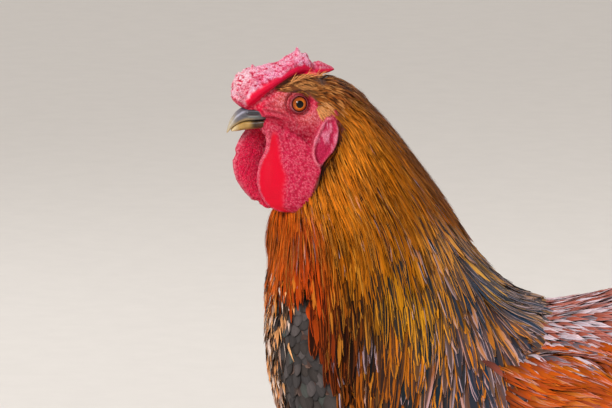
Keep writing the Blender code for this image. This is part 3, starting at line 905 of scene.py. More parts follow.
def toe_path(side, heading, length, radius, pads, steps=66):
    """Centre line and radius of a toe, swelling over each pad."""
    share = np.linspace(0, 1, steps)
    pad = 0.5 - 0.5 * np.cos(2 * math.pi * share * pads)
    width = radius * (1 - 0.25 * share) * (0.84 + 0.16 * pad)
    rise = np.maximum(0, 1 - share * 4) * 3.5
    start = np.array([side * FOOT[0], FOOT[1], 0])
    place = start + toe_heading(side, heading) * (2 + (length - 2) * share)[:, None]
    place[:, 2] = width * 0.86 + rise
    return np.column_stack([place, width])


SHANK = [  # share of the way from hock to foot, radius
    (-0.16, 7), (0, 9.2), (0.12, 8.0), (0.3, 6.9), (0.62, 6.8), (0.85, 7.4), (0.96, 8), (1.04, 6),
]
SHANK_RINGS = 140
LEG_SIDES = 30
TOE_SIDES = 24
BALL = [(0, 8), (3, 10), (9, 10), (14, 9), (FOOT_HEIGHT, 7)]  # height, radius
FRONT, UP = (0, -1, 0), (0, 0, 1)


def make_leg(side):
    """Shank, ball of the foot and toes as closed meshes, pressed flat where they bear."""
    hock, foot = np.array(HOCK, float) * [side, 1, 1], np.array(FOOT, float) * [side, 1, 1]
    shape = curve(SHANK, 16)
    share = np.linspace(shape[0, 0], shape[-1, 0], SHANK_RINGS)
    radius = np.interp(share, shape[:, 0], shape[:, 1])
    shank = np.column_stack([hock + (foot - hock) * share[:, None], radius])
    height, radius = curve(BALL, 5).T
    ball = np.column_stack([np.tile(foot[:2], (len(height), 1)), height, radius])
    pieces = [scute_rings(shank, LEG_SIDES, 5.2, FRONT, 1.0), scute_rings(ball, LEG_SIDES, 4, FRONT, 0.6)]
    pieces[-1][0][0, :, 2] = 0
    for toe in TOES.values():
        pieces.append(scute_rings(toe_path(side, *toe), TOE_SIDES, 3.6, UP, 0.7))
    made, furrows = [], []
    for rings, furrow in pieces:
        rings[..., 2] = np.maximum(rings[..., 2], 0)
        made.append(closed("leg_part", rings))
        furrows.append(np.column_stack([rings.reshape(-1, 3), furrow.ravel()]))
    return made, furrows


def nearest(places, points):
    """Which place is nearest to each point, and how far away it is."""
    tree = KDTree(len(places))
    for index, place in enumerate(places.tolist()):
        tree.insert(place, index)
    tree.balance()
    found = [tree.find(point)[1:] for point in points.tolist()]
    return np.array([index for index, _ in found]), np.array([gap for _, gap in found])


def leg_colours(p, furrows):
    """Yellow scales with brown furrows where the scales meet."""
    drift = noise(p, 14, 61) * 0.5 + 0.5
    furrow = np.zeros(len(p))
    scaled = p[:, 2] < LEG_TOP
    known = np.vstack(furrows)
    furrow[scaled] = known[nearest(known[:, :3], p[scaled])[0], 3]
    colour = mix(LEG_YELLOW, LEG_PALE, 0.6 * drift)
    colour = mix(colour, LEG_BROWN, 0.25 * ramp(noise(p, 3.2, 62), 0.1, 0.8))
    colour = mix(colour, LEG_BROWN, 0.9 * furrow)
    return mix(colour, LEG_BROWN, 0.4 * ramp(p[:, 2], 6, 0))


# ---------------------------------------------------------------- the one skin

# The CAD nodes that the skin takes over from
FLESH = ["head", "comb", "neck", "trunk"]
FLESH += [f"{part}_{word}" for part in ("wattle", "earlobe", "wing", "thigh") for _, word in SIDES]
for _, word in SIDES:
    FLESH += [f"shank_{word}", f"foot_{word}", *(f"toe_{word}_{toe}" for toe in TOES)]
BODY = ["trunk", "wing_left", "wing_right", "thigh_left", "thigh_right"]
BODY_VOXEL = 5.5
GROUND_VOXEL = 2.6


def coat_depth(p):
    """How deep under the feathered solids the skin lies."""
    depth = 2.2 + 4.6 * ramp(p[:, 2], 462, 400)
    depth = np.where(p[:, 2] < 240, 7.0, depth)
    depth *= 1 - 0.55 * ramp(p[:, 2], 150, LEG_TOP) * (p[:, 2] < 160)
    return np.where(p[:, 1] > 270, np.minimum(depth, 4), depth)


def body_skin():
    """Neck, trunk, wings and thighs, drawn in from the solids by the coat's depth."""
    skin = envelope("body_skin", ["head", "neck", *BODY], BODY_VOXEL, 8)
    points, triangles = points_of(skin), triangles_of(skin)
    normals = normals_of(points, triangles)
    inward = smoothed(points - normals * coat_depth(points)[:, None], edges_of(skin), 4)
    set_points(skin, inward)
    return skin


def union(base, others):
    """One closed mesh of them all."""
    for other in others:
        applied(base, "BOOLEAN", operation="UNION", solver="MANIFOLD", object=other)
        bpy.data.objects.remove(other)
    return base


def paint(piece, name, colours):
    """A colour at each point."""
    layer = piece.data.color_attributes.new(name, "FLOAT_COLOR", "POINT")
    filled = np.ones((len(colours), 4), np.float32)
    filled[:, :3] = colours
    layer.data.foreach_set("color", filled.ravel())


def values_on(piece, name, values):
    """A number at each point."""
    layer = piece.data.attributes.new(name, "FLOAT", "POINT")
    layer.data.foreach_set("value", np.asarray(values, np.float32))


HEAD_FOOT = 400  # bare skin above, cape below
BARE, COAT, SCALES = range(3)  # the skin's materials


def make_skin():
    """The one skin, with its colours and the regions that its materials need."""
    skin = body_skin()
    parts, furrows = [make_head_skin()], []
    for side, _ in SIDES:
        made, marked = make_leg(side)
        parts += made
        furrows += marked
    union(skin, parts)
    skin.name = skin.data.name = "skin"
    points = points_of(skin)
    head_frame = unturned(points)
    bare, region, shine = head_colours(head_frame)
    on_head = ramp(head_frame[:, 2], HEAD_FOOT - 4, HEAD_FOOT + 1) * (1 - region["feathered"])
    on_leg = ramp(points[:, 2], LEG_TOP, LEG_TOP - 6)
    colour = mix(shaded_ground_colour(points), bare, on_head)
    colour = mix(colour, leg_colours(points, furrows), on_leg)
    paint(skin, "colour", colour)
    values_on(skin, "shine", shine * on_head)
    values_on(skin, "bare", np.maximum(on_head, on_leg))
    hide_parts(*FLESH)
    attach(skin, "root")
    skin.data.materials.clear()
    for material in (bare_skin_look(), shaded_ground_look(), scale_look()):
        skin.data.materials.append(material)
    first = first_corners(skin)
    which = np.where(points[first, 2] < LEG_TOP, SCALES, np.where(on_head[first] > 0.5, BARE, COAT))
    skin.data.polygons.foreach_set("material_index", which.astype(np.int32))
    skin.data.shade_smooth()
    return skin


def shaded_ground_colour(points):
    """The dark ground that shows between feathers: the coat's colour darkened as painted shade of the gaps,
    less so high on the head.
    """
    _, _, off_cape = on_cape(points)
    beyond = ramp(off_cape, 9, 14) * (points[:, 2] < HEAD_FOOT)
    coat = mix(hackle_colour(points), body_colour(points), beyond)
    return coat * (0.25 + 0.35 * ramp(points[:, 2], 452, 462))[:, None]


def first_corners(piece):
    """The point at each face's first corner."""
    start = np.empty(len(piece.data.polygons), np.int32)
    piece.data.polygons.foreach_get("loop_start", start)
    corner = np.empty(len(piece.data.loops), np.int32)
    piece.data.loops.foreach_get("vertex_index", corner)
    return corner[start]


# ---------------------------------------------------------------- node materials


class Look:
    """A node material in the making, on one Principled shader."""

    def __init__(self, name, **constants):
        self.material = bpy.data.materials.new(name)
        self.material.use_nodes = True
        self.tree = self.material.node_tree
        self.shader = self.tree.nodes["Principled BSDF"]
        for socket, value in constants.items():
            self.shader.inputs[socket.replace("_", " ")].default_value = value

    def set(self, node, socket, value):
        if isinstance(value, bpy.types.NodeSocket):
            self.tree.links.new(value, node.inputs[socket])
        else:
            node.inputs[socket].default_value = value

    def add(self, kind, inputs=(), **settings):
        node = self.tree.nodes.new(kind)
        for key, value in settings.items():
            setattr(node, key, value)
        for socket, value in dict(inputs).items():
            self.set(node, socket, value)
        return node

    def attribute(self, name, output="Fac"):
        return self.add("ShaderNodeAttribute", attribute_name=name).outputs[output]

    def painted(self, name="colour"):
        return self.attribute(name, "Color")

    def math(self, operation, first, second=0.0, third=0.0):
        inputs = {0: first, 1: second, 2: third}
        return self.add("ShaderNodeMath", inputs, operation=operation).outputs[0]

    def times(self, first, second):
        return self.math("MULTIPLY", first, second)

    def ramp(self, value, low, high, start=0.0, end=1.0):
        node = self.add("ShaderNodeMapRange", {0: value, 1: low, 2: high, 3: start, 4: end})
        node.interpolation_type = "SMOOTHSTEP"
        return node.outputs[0]

    def mix(self, share, first, second, blend="MIX"):
        inputs = {0: share, 6: first, 7: second}
        return self.add("ShaderNodeMix", inputs, data_type="RGBA", blend_type=blend).outputs[2]

    def noise(self, place, scale, detail=3.0, roughness=0.6):
        inputs = {"Vector": place, "Scale": scale, "Detail": detail, "Roughness": roughness}
        return self.add("ShaderNodeTexNoise", inputs).outputs["Fac"]

    def cells(self, place, scale):
        inputs = {"Vector": place, "Scale": scale}
        return self.add("ShaderNodeTexVoronoi", inputs).outputs["Distance"]

    def place(self):
        return self.add("ShaderNodeTexCoord").outputs["Object"]

    def brighten(self, colour, share, low, high):
        """The colour times a value that runs from low to high with the share."""
        factor = self.ramp(share, 0.0, 1.0, low, high)
        tone = self.add("ShaderNodeCombineXYZ", {0: factor, 1: factor, 2: factor}).outputs[0]
        return self.mix(1.0, colour, tone, "MULTIPLY")

    def finish(self, colour=None, roughness=None, height=None, depth=0.0002, strength=0.6):
        if colour is not None:
            self.set(self.shader, "Base Color", colour)
        if roughness is not None:
            self.set(self.shader, "Roughness", roughness)
        if height is not None:
            inputs = {"Height": height, "Distance": depth, "Strength": strength}
            self.set(self.shader, "Normal", self.add("ShaderNodeBump", inputs).outputs[0])
        return self.material


def rgba(colour):
    """A colour as a shader's socket takes it."""
    return (*[float(c) for c in colour], 1.0)


def bare_skin_look():
    """Comb, face, wattles and earlobes: fleshy, finely grained, moist where smooth. The fine grains' furrows
    are darkened as painted shade, and their tops flecked pale, partly the skin's own flecks and partly
    painted highlight.
    """
    look = Look("bare_skin", Subsurface_Weight=0.1, Subsurface_Scale=0.003, Specular_IOR_Level=0.22)
    look.shader.inputs["Subsurface Radius"].default_value = (1.0, 0.25, 0.15)
    place = look.place()
    grain = look.cells(place, 1150.0)
    fine = look.noise(place, 2600.0)
    smooth = look.attribute("shine")
    # Deep red in the grains' furrows, less where smooth: painted shade.
    furrow = look.times(look.ramp(grain, 0.25, 0.7), look.ramp(smooth, 0.2, 0.7, 0.45, 0.05))
    colour = look.mix(furrow, look.painted(), rgba(COMB_DEEP))
    colour = look.brighten(colour, fine, 0.88, 1.12)
    # Pale flecks on the grain tops, less where smooth: partly the skin's own, partly painted highlight.
    speck = look.times(look.ramp(grain, 0.22, 0.06), look.ramp(smooth, 0.2, 0.7, 0.55, 0.0))
    colour = look.mix(speck, colour, rgba(FACE_PALE))
    height = look.math("SUBTRACT", look.times(fine, 0.4), grain)
    height = look.times(height, look.ramp(smooth, 0.2, 0.7, 1.0, 0.12))
    return look.finish(colour, look.ramp(smooth, 0.2, 0.8, 0.5, 0.34), height, 0.00035, 0.7)


def shaded_ground_look():
    """The skin under the coat, which shows only as a soft dark ground between feathers; its darkness is
    painted shade.
    """
    look = Look("down", Sheen_Weight=0.2)
    wisps = look.noise(look.place(), 900.0, 4.0)
    colour = look.brighten(look.painted(), wisps, 0.6, 1.3)
    return look.finish(colour, look.ramp(wisps, 0, 1, 0.8, 1.0), wisps, 0.0004, 0.8)


def scale_look():
    """Horny yellow scales."""
    look = Look("leg_scales", Specular_IOR_Level=0.4)
    place = look.place()
    blotch = look.noise(place, 260.0, 4.0)
    fine = look.cells(place, 800.0)
    colour = look.mix(look.ramp(blotch, 0.45, 0.75, 0, 0.5), look.painted(), rgba(LEG_BROWN))
    colour = look.brighten(colour, fine, 1.08, 0.85)
    return look.finish(colour, look.ramp(blotch, 0, 1, 0.38, 0.6), fine, 0.00015, 0.5)


# ---------------------------------------------------------------- eyes, beak, claws


EYE_ROWS, EYE_SIDES = 64, 72
PUPIL_BLACK = srgb(6, 5, 6)
IRIS_ORANGE = srgb(226, 128, 30)
IRIS_DEEP = srgb(196, 84, 12)
IRIS_EDGE = srgb(96, 28, 6)
IRIS_SHADE = srgb(112, 48, 14)
EYE_DARK = srgb(34, 16, 14)


def make_eye(side, word):
    """The whole ball: a black pupil in an orange iris behind a clear wet front."""
    angle = np.linspace(0.0, math.pi, EYE_ROWS + 2)[1:-1]
    turn = ring_of_angles(EYE_SIDES)[::side]
    reach = np.sin(angle)[:, None]
    out = np.repeat(np.cos(angle)[:, None], EYE_SIDES, 1)
    local = np.stack([out, reach * np.cos(turn), reach * np.sin(turn)], -1) * EYE_RADIUS
    points, walls, caps = loft_arrays((local + EYE_PLACE) * [side, 1, 1])
    eye = mesh_object("eyeball_" + word, turned(points), walls, caps)
    x, y, z = (points * [side, 1, 1] - EYE_PLACE).T
    values_on(eye, "from_axis", np.where(x > 0, np.hypot(y, z), 9))
    values_on(eye, "around", np.arctan2(z, y))
    eye.data.materials.append(eye_look())
    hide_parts("eye_" + word)
    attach(eye, "root")


def eye_look():
    """Rings of colour by distance from the eye's axis, shaded on one side."""
    found = bpy.data.materials.get("eye")
    if found:
        return found
    look = Look("eye", Roughness=0.25, Specular_IOR_Level=0.06, Coat_Weight=0.5, Coat_Roughness=0.02)
    far = look.attribute("from_axis")
    fibres = look.noise(look.place(), 1500.0, 4.0)
    iris = look.mix(look.ramp(far, 2.4, 3.6), rgba(IRIS_ORANGE), rgba(IRIS_DEEP))
    iris = look.mix(look.ramp(far, 3.6, 4.4), iris, rgba(IRIS_EDGE))
    lit = look.math("COSINE", look.math("ADD", look.attribute("around"), 0.7))
    iris = look.mix(look.ramp(lit, 0.1, -0.9, 0, 0.65), iris, rgba(IRIS_SHADE))
    iris = look.brighten(iris, fibres, 0.6, 1.35)
    outside = look.ramp(far, PUPIL_RADIUS - 0.08, PUPIL_RADIUS + 0.1)
    colour = look.mix(outside, rgba(PUPIL_BLACK), iris)
    outside = look.ramp(far, IRIS_RADIUS - 0.1, IRIS_RADIUS + 0.15)
    return look.finish(look.mix(outside, colour, rgba(EYE_DARK)))


GAPE_HEIGHT = 458.6
BEAK_UPPER = [  # y, top, bottom, half width
    (4, 468.6, 456, 9.4),
    (-4, 468.4, 455.8, 9.2),
    (-9, 467.8, 455.6, 8.4),
    (-14, 467.2, 455.4, 6.9),
    (-18, 465.8, 455.4, 5.3),
    (-21.5, 463.2, 454.4, 3.7),
    (-24.4, 459.2, 452.6, 2.3),
    (-26, 455.4, 450.8, 1.3),
    (-26.9, 452.4, 450.2, 0.5),
]
BEAK_LOWER = [
    (4, 461, 453, 8.6),
    (-5, 460.6, 453, 7.8),
    (-11, 460, 452.6, 6.2),
    (-16, 459.4, 452.2, 4.6),
    (-20, 457.6, 451.6, 3.1),
    (-23, 455, 451.4, 1.6),
    (-24.2, 453.6, 451.6, 0.4),
]


def gape(y):
    """The height at which the halves of the beak meet."""
    return GAPE_HEIGHT - 0.05 * np.maximum(0, -14 - y) ** 2


# The nostril's flap, slit and sill: y, half length, z, half height
NOSTRIL = ((-11.8, 4.3, 461.3, 0.8), (-11.4, 3.8, 463.0, 0.7), (-11, 5, 459.9, 0.5))


def nostril(y, z):
    """The nostril's horny flap, the dark slit over it and the sill under it."""
    shapes = []
    for middle_y, length, middle_z, height in NOSTRIL:
        shapes.append(np.exp(-(((y - middle_y) / length) ** 4) - ((z - middle_z) / height) ** 2))
    return shapes


def make_beak():
    """Both halves, rounded where they meet, with the nostril's flap over its slit."""
    for name, table, sign in (("beak_upper", BEAK_UPPER, 1), ("beak_lower", BEAK_LOWER, -1)):
        rings = upright_rings(table, 12, 64, 2.1)
        limit = gape(rings[..., 1]) + sign * 0.15
        beyond = (rings[..., 2] - limit) * sign
        # the edges roll over softly where the halves meet
        soft = 0.5 * (beyond + np.sqrt(beyond**2 + 0.18))
        rings[..., 2] = limit + sign * (soft - 0.1)
        if sign > 0:
            flap, slit, sill = nostril(rings[..., 1], rings[..., 2])
            rings[..., 0] += np.sign(rings[..., 0]) * (0.9 * flap - 1.2 * slit + 0.35 * sill)
        points, walls, caps = loft_arrays(rings)
        beak = mesh_object(name + "_horn", turned(points), walls, caps)
        paint(beak, "colour", beak_colours(points, sign))
        beak.data.materials.append(horn_look("beak_horn_look", 420.0))
        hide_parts(name)
        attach(beak, "root")


def upper_beak_colours(y, z, streak):
    """Slate with a painted bluish highlight beside the ridge, paler at the tip and the cutting edge, with
    painted shade in the nostril's slit and at the mouth's corner.
    """
    ridge = ramp(z, *(table_at(BEAK_UPPER, 1, y) - [[3.6], [0.9]]))
    cut_edge = ramp(z, gape(y) + 2.6, gape(y) + 0.4)
    flap, slit, sill = nostril(y, z)
    colour = mix(srgb(84, 80, 86), srgb(34, 38, 54), ridge * ramp(y, -21, -15))
    # Pale bluish grey beside the ridge: painted highlight.
    colour = mix(colour, srgb(186, 188, 206), bump(ridge, 0.55, 0.35) * ramp(y, -13, -19) * 0.8)
    colour = mix(colour, srgb(206, 190, 158), ramp(y, -20, -26) * 0.7)
    colour = mix(colour, srgb(176, 146, 92), cut_edge * ramp(y, -9, -14) * 0.85)
    colour = mix(colour, srgb(30, 44, 56), ramp(z, 464, 466) * ramp(y, -20, -15) * 0.85)
    colour = mix(colour, mix(srgb(84, 88, 86), srgb(150, 154, 150), streak**2), flap * 0.95)
    colour = mix(colour, srgb(150, 142, 128), sill * (0.3 + 0.4 * streak))
    # Near black in the nostril's slit: painted shade of the opening.
    colour = mix(colour, srgb(14, 16, 20), slit * 0.95)
    colour = mix(colour, srgb(40, 30, 30), ramp(y, -8, -1) * 0.8)
    # Dark low at the back, by the mouth's corner: painted shade.
    return mix(colour, srgb(24, 18, 18), ramp(z, 460, 459.2) * ramp(y, -13, -9) * 0.9)


def lower_beak_colours(y, z, streak):
    """Pale horn at the tip, brown behind, and dark at the mouth's corner as painted shade."""
    colour = mix(srgb(196, 158, 92), srgb(140, 104, 48), 0.75 * streak)
    # Dark high at the back, by the mouth's corner: painted shade.
    colour = mix(colour, srgb(38, 28, 26), ramp(y, -15, -10) * ramp(z, 453, 454.6))
    colour = mix(colour, srgb(96, 66, 40), ramp(y, -13, -6) * 0.8)
    return mix(colour, srgb(228, 208, 166), ramp(y, -19, -23) * 0.7)


def beak_colours(p, sign):
    """The colour of either half, darker where they meet as painted shade of the seam."""
    y, z = p[:, 1], p[:, 2]
    streak = noise(p * [1, 0.25, 1.6], 1.5, 71) * 0.5 + 0.5
    colour = (upper_beak_colours if sign > 0 else lower_beak_colours)(y, z, streak)
    # Dark where the halves meet: painted shade.
    shut = ramp(np.abs(z - gape(y)), 1.0, 0.1)
    return mix(colour, srgb(20, 14, 14), shut * 0.75 * ramp(y, -22, -14)) * (0.85 + 0.3 * streak)[:, None]


def horn_look(name, scale):
    """Streaky horn; the scale sets how fine the streaks are."""
    found = bpy.data.materials.get(name)
    if found:
        return found
    look = Look(name, Specular_IOR_Level=0.3, Coat_Weight=0.08, Coat_Roughness=0.25)
    streaks = look.noise(look.place(), scale, 4.0)
    colour = look.brighten(look.painted(), streaks, 0.8, 1.2)
    return look.finish(colour, look.ramp(streaks, 0, 1, 0.22, 0.42), streaks, 0.00012, 0.4)


CLAW_SIDES = 20


def make_claw(name, path):
    """A curved horn that takes over from the CAD node's plain one."""
    rings, _, _ = limb_rings(curve(path, 8), CLAW_SIDES)
    rings[..., 2] = np.maximum(rings[..., 2], 0.0)
    points, walls, caps = loft_arrays(rings)
    claw = mesh_object(name + "_horn", points, walls, caps)
    share = np.append(np.repeat(np.linspace(0, 1, len(rings)), CLAW_SIDES), [0, 1])
    pale = 0.3 + 0.5 * share + 0.2 * noise(points, 3, 81)
    paint(claw, "colour", mix(srgb(92, 72, 50), srgb(176, 148, 108), pale))
    claw.data.materials.append(horn_look("claw_horn_look", 500.0))
    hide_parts(name)
    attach(claw, "root")


CLAW = ((0, 4.2, 2.6), (0.3, 5.3, 2.7), (0.65, 4.3, 1.9), (1, 1.2, 0.4))  # share, height, radius
CLAW_LENGTH = 16
SPUR = ((0, 4.6), (0.35, 4.2), (0.7, 2.7), (1, 0.5))  # share, radius


def make_claws():
    """A claw at each toe's end, and the spurs."""
    for side, word in SIDES:
        for toe, (heading, length, _, _) in TOES.items():
            root = np.array([side * FOOT[0], FOOT[1], 0])
            path = []
            for share, height, radius in CLAW:
                place = root + toe_heading(side, heading) * (length - 3 + CLAW_LENGTH * share)
                path.append((place[0], place[1], height, radius))
            make_claw(f"claw_{word}_{toe}", path)
        hock, foot = np.array(HOCK, float), np.array(FOOT, float)
        root = hock + (foot - hock) * SPUR_SHARE
        path = []
        for share, radius in SPUR:
            place = root + SPUR_LENGTH * share * np.array([-0.72, 0.66, 0.35 * share])
            path.append((side * place[0], place[1], place[2], radius))
        make_claw("spur_" + word, path)


# ---------------------------------------------------------------- markings of the coat

GOLD = srgb(200, 112, 26)
OCHRE = srgb(172, 104, 18)
NAPE_BROWN = srgb(132, 68, 12)
STEEL = srgb(34, 44, 62)
LAVENDER = srgb(176, 158, 172)
PALE_BACK = srgb(208, 190, 200)
BACK_RUST = srgb(158, 62, 20)
WING_ORANGE = srgb(190, 80, 4)
SLATE = srgb(66, 61, 60)
DARK_SLATE = srgb(40, 39, 41)
TAIL_BLACK = srgb(14, 18, 20)
# The green that runs down the middle of the black tail feathers is painted sheen of their iridescence.
TAIL_GREEN = srgb(14, 50, 44)
TAIL_SHAFT = srgb(8, 10, 12)
BAR_STEEL = srgb(26, 38, 50)

# A place on the left side, the vanes' colour there, how many have stripes and how many pale tips
HACKLE_ZONES = [
    ((0, 28, 484), srgb(122, 68, 30), 0, 0),
    ((8, 48, 476), srgb(126, 67, 26), 0, 0),
    ((0, 66, 455), srgb(130, 66, 14), 0.04, 0),
    ((0, 92, 425), srgb(150, 80, 10), 0.08, 0),
    ((12, 103, 399), srgb(150, 80, 14), 0.15, 0),
    ((22, 48, 452), srgb(200, 114, 30), 0.02, 0),
    ((32, 54, 432), srgb(214, 124, 28), 0.03, 0),
    ((42, 40, 404), srgb(206, 116, 28), 0.06, 0.04),
    ((28, 80, 420), srgb(176, 98, 10), 0.08, 0),
    ((20, 14, 432), srgb(204, 104, 30), 0.05, 0),
    ((25, 7, 388), srgb(206, 90, 16), 0.1, 0.0),
    ((8, 0, 372), srgb(200, 88, 16), 0.1, 0.0),
    ((45, 25, 381), srgb(180, 70, 24), 0.16, 0.1),
    ((50, 27, 360), srgb(160, 56, 12), 0.3, 0.04),
    ((60, 32, 339), srgb(150, 50, 8), 0.5, 0),
    ((72, 41, 312), srgb(104, 36, 8), 0.8, 0),
    ((45, 46, 396), srgb(198, 112, 20), 0.08, 0.03),
    ((58, 52, 376), srgb(162, 90, 8), 0.3, 0.0),
    ((68, 59, 355), srgb(158, 90, 8), 0.5, 0),
    ((75, 55, 334), srgb(80, 36, 6), 0.8, 0),
    ((82, 55, 306), srgb(74, 31, 8), 0.9, 0.04),
    ((45, 81, 389), srgb(156, 86, 6), 0.25, 0),
    ((68, 84, 362), srgb(156, 90, 4), 0.5, 0),
    ((78, 81, 342), srgb(184, 124, 18), 0.8, 0.02),
    ((83, 96, 327), srgb(194, 132, 26), 0.92, 0.1),
    ((87, 81, 313), srgb(172, 96, 16), 0.95, 0.1),
    ((88, 70, 285), srgb(150, 78, 14), 0.95, 0.15),
    ((87, 111, 313), srgb(190, 116, 28), 0.95, 0.4),
    ((45, 118, 366), srgb(206, 138, 62), 0.4, 0.35),
    ((65, 140, 340), srgb(160, 100, 36), 0.9, 0.5),
    ((35, 147, 358), srgb(192, 140, 56), 0.9, 0.4),
    ((30, 162, 347), srgb(172, 132, 92), 0.85, 0.8),
    ((78, 162, 320), srgb(172, 104, 44), 0.85, 0.75),
    ((87, 130, 302), srgb(180, 104, 30), 0.95, 0.5),
]
BODY_ZONES = [
    ((0, 6, 320), SLATE),
    ((50, 40, 250), SLATE),
    ((80, 60, 250), SLATE),
    ((0, 100, 170), DARK_SLATE),
    ((80, 150, 190), DARK_SLATE),
    ((0, 240, 170), DARK_SLATE),
    ((55, 155, 140), DARK_SLATE),
    ((0, 300, 250), DARK_SLATE),
    ((0, 180, 345), BACK_RUST),
    ((50, 190, 335), BACK_RUST),
    ((60, 250, 345), OCHRE),
    ((0, 270, 365), OCHRE),
    ((90, 120, 300), WING_ORANGE),
    ((92, 170, 290), WING_ORANGE),
    ((80, 235, 300), NAPE_BROWN),
    ((75, 262, 275), DARK_SLATE),
    ((80, 200, 222), DARK_SLATE),
    ((75, 240, 238), DARK_SLATE),
    ((84, 165, 228), DARK_SLATE),
    ((55, 295, 295), DARK_SLATE),
]


def zone_mix(p, zones, column, spread):
    """A column of a table blended between its places on the body, the same on both sides."""
    places = [zone[0] for zone in zones]
    values = [np.atleast_1d(zone[column]) for zone in zones]
    p = np.abs(p * [1, 0, 0]) + p * [0, 1, 1]
    total, weights = 0, 0
    for place, value in zip(np.array(places, float), np.array(values, float)):
        weight = 1 / (((p - place) ** 2).sum(-1) + spread**2) ** 2
        total = total + weight[:, None] * value
        weights = weights + weight
    return total / weights[:, None]


def hackle_colour(p):
    return zone_mix(p, HACKLE_ZONES, 1, 9.0)


def hackle_share(p, column):
    """How many hackles have stripes (column 2) or pale tips (column 3)."""
    return zone_mix(p, HACKLE_ZONES, column, 9.0)[:, 0]


def body_colour(p):
    return zone_mix(p, BODY_ZONES, 1, 14.0)


def neck_grid(steps=5, sides=72):
    """Points over the cape, and how far each is from the top and from the lower edge."""
    fy, fz, sx, sy, sz, by, bz, hug = curve(NECK, steps).T[:, :, None]
    angle = ring_of_angles(sides)[None]
    along, across = np.cos(angle), np.sin(angle)
    reach, width, behind = np.abs(along), np.abs(across), along > 0
    x = np.where(behind, sx * width, sx * width ** (1.7 - 0.7 * hug))
    ahead_y = sy + (fy - sy) * reach ** (1 + 0.15 * hug)
    y = np.where(behind, sy + (by - sy) * reach ** (1 - 0.78 * hug), ahead_y)
    oval = sz + (fz - sz) * reach
    parted = fz + (sz - fz) * width**3
    z = np.where(behind, sz + (bz - sz) * reach, oval + (parted - oval) * hug)
    grid = np.stack([x * np.sign(across), y, z], -1)
    steps_down = np.linalg.norm(np.diff(grid, axis=0), axis=-1)
    down = np.vstack([np.zeros((1, sides)), np.cumsum(steps_down, axis=0)])
    return grid.reshape(-1, 3), down.ravel(), (down[-1:] - down).ravel()


def on_cape(points):
    """How far points are below the top of the cape, above its lower edge, and from it."""
    grid, down, left = neck_grid()
    near, gap = nearest(grid, points)
    return down[near], left[near], gap


# ---------------------------------------------------------------- floor, lights and camera


FLOOR_GREY = srgb(214, 209, 204)
SKY = srgb(235, 231, 228)
SKY_STRENGTH = 0.46
SUN_WIDTH = math.radians(24)
LIGHT_AIM = Vector((0, -0.1, 0.32))
FLOOR_SIDES = 40
FLOOR_RINGS = ((15.0, 0.0), (60.0, 3.0))  # radius and height in metres


def make_floor():
    """A wide pale floor, which rises a little far away, so that no horizon shows."""
    mesh = bpy.data.meshes.new("floor")
    turns = ring_of_angles(FLOOR_SIDES)
    points = [(size * math.cos(a), size * math.sin(a), height) for size, height in FLOOR_RINGS for a in turns]
    inner = np.arange(FLOOR_SIDES)
    ahead = np.roll(inner, -1)
    slope = np.stack([inner, ahead, ahead + FLOOR_SIDES, inner + FLOOR_SIDES], -1)
    mesh.from_pydata(points, [], [inner.tolist(), *slope.tolist()])
    floor = show("floor", mesh)
    look = Look("floor_paint", Roughness=0.9)
    grain = look.noise(look.place(), 30.0)
    mesh.materials.append(look.finish(look.brighten(rgba(FLOOR_GREY), grain, 0.97, 1.03)))


def make_light(name, kind, place, power, colour=(1, 1, 1), size=1.0):
    """A lamp that shines at the middle of the bird and isn't seen itself."""
    lamp = bpy.data.lights.new(name, kind)
    if kind == "SUN":
        lamp.angle = SUN_WIDTH
    else:
        lamp.shape, lamp.size = "SQUARE", size
    lamp.energy, lamp.color = power, colour
    light = show(name, lamp)
    light.location = place
    light.rotation_euler = (LIGHT_AIM - Vector(place)).to_track_quat("-Z", "Y").to_euler()
    light.visible_camera = False
    return light


def make_lights():
    """A soft sun, a small window seen only as a gleam, two weak fills and a pale sky."""
    key = make_light("key", "SUN", (2.2, -1.5, 1.9), 2.85, (1, 0.97, 0.93))
    key.visible_glossy = False
    window = make_light("window", "AREA", (2.93, -0.3, 1.36), 34, (0.82, 0.91, 1), 0.6)
    window.visible_diffuse = False
    make_light("back", "AREA", (-1.6, 1.4, 2.2), 26, size=1.6)
    far_side = make_light("far_side", "AREA", (-1.8, -1.8, 1.2), 18, size=2.0)
    far_side.visible_glossy = False
    scene = bpy.context.scene
    scene.view_settings.view_transform = "Standard"
    scene.world = scene.world or bpy.data.worlds.new("world")
    scene.world.use_nodes = True
    sky = scene.world.node_tree.nodes["Background"]
    sky.inputs["Color"].default_value = rgba(SKY)
    sky.inputs["Strength"].default_value = SKY_STRENGTH


CAMERA_AIM = (0, 24, 404.0)
CAMERA_DISTANCE = 4.0
CAMERA_RISE = math.radians(8)
FRAMED_WIDTH = 0.379  # metres across at the bird
SENSOR = 36.0


def make_camera():
    """Looks at the bird's left side, from a little above."""
    data = bpy.data.cameras.new("camera")
    data.sensor_width = SENSOR
    data.lens = SENSOR * CAMERA_DISTANCE / FRAMED_WIDTH
    camera = show("camera", data)
    back = Vector((math.cos(CAMERA_RISE), 0, math.sin(CAMERA_RISE)))
    camera.location = Vector(to_world(CAMERA_AIM)) + back * CAMERA_DISTANCE
    camera.rotation_euler = (-back).to_track_quat("-Z", "Y").to_euler()
    bpy.context.scene.camera = camera


# ---------------------------------------------------------------- the lie of the coat

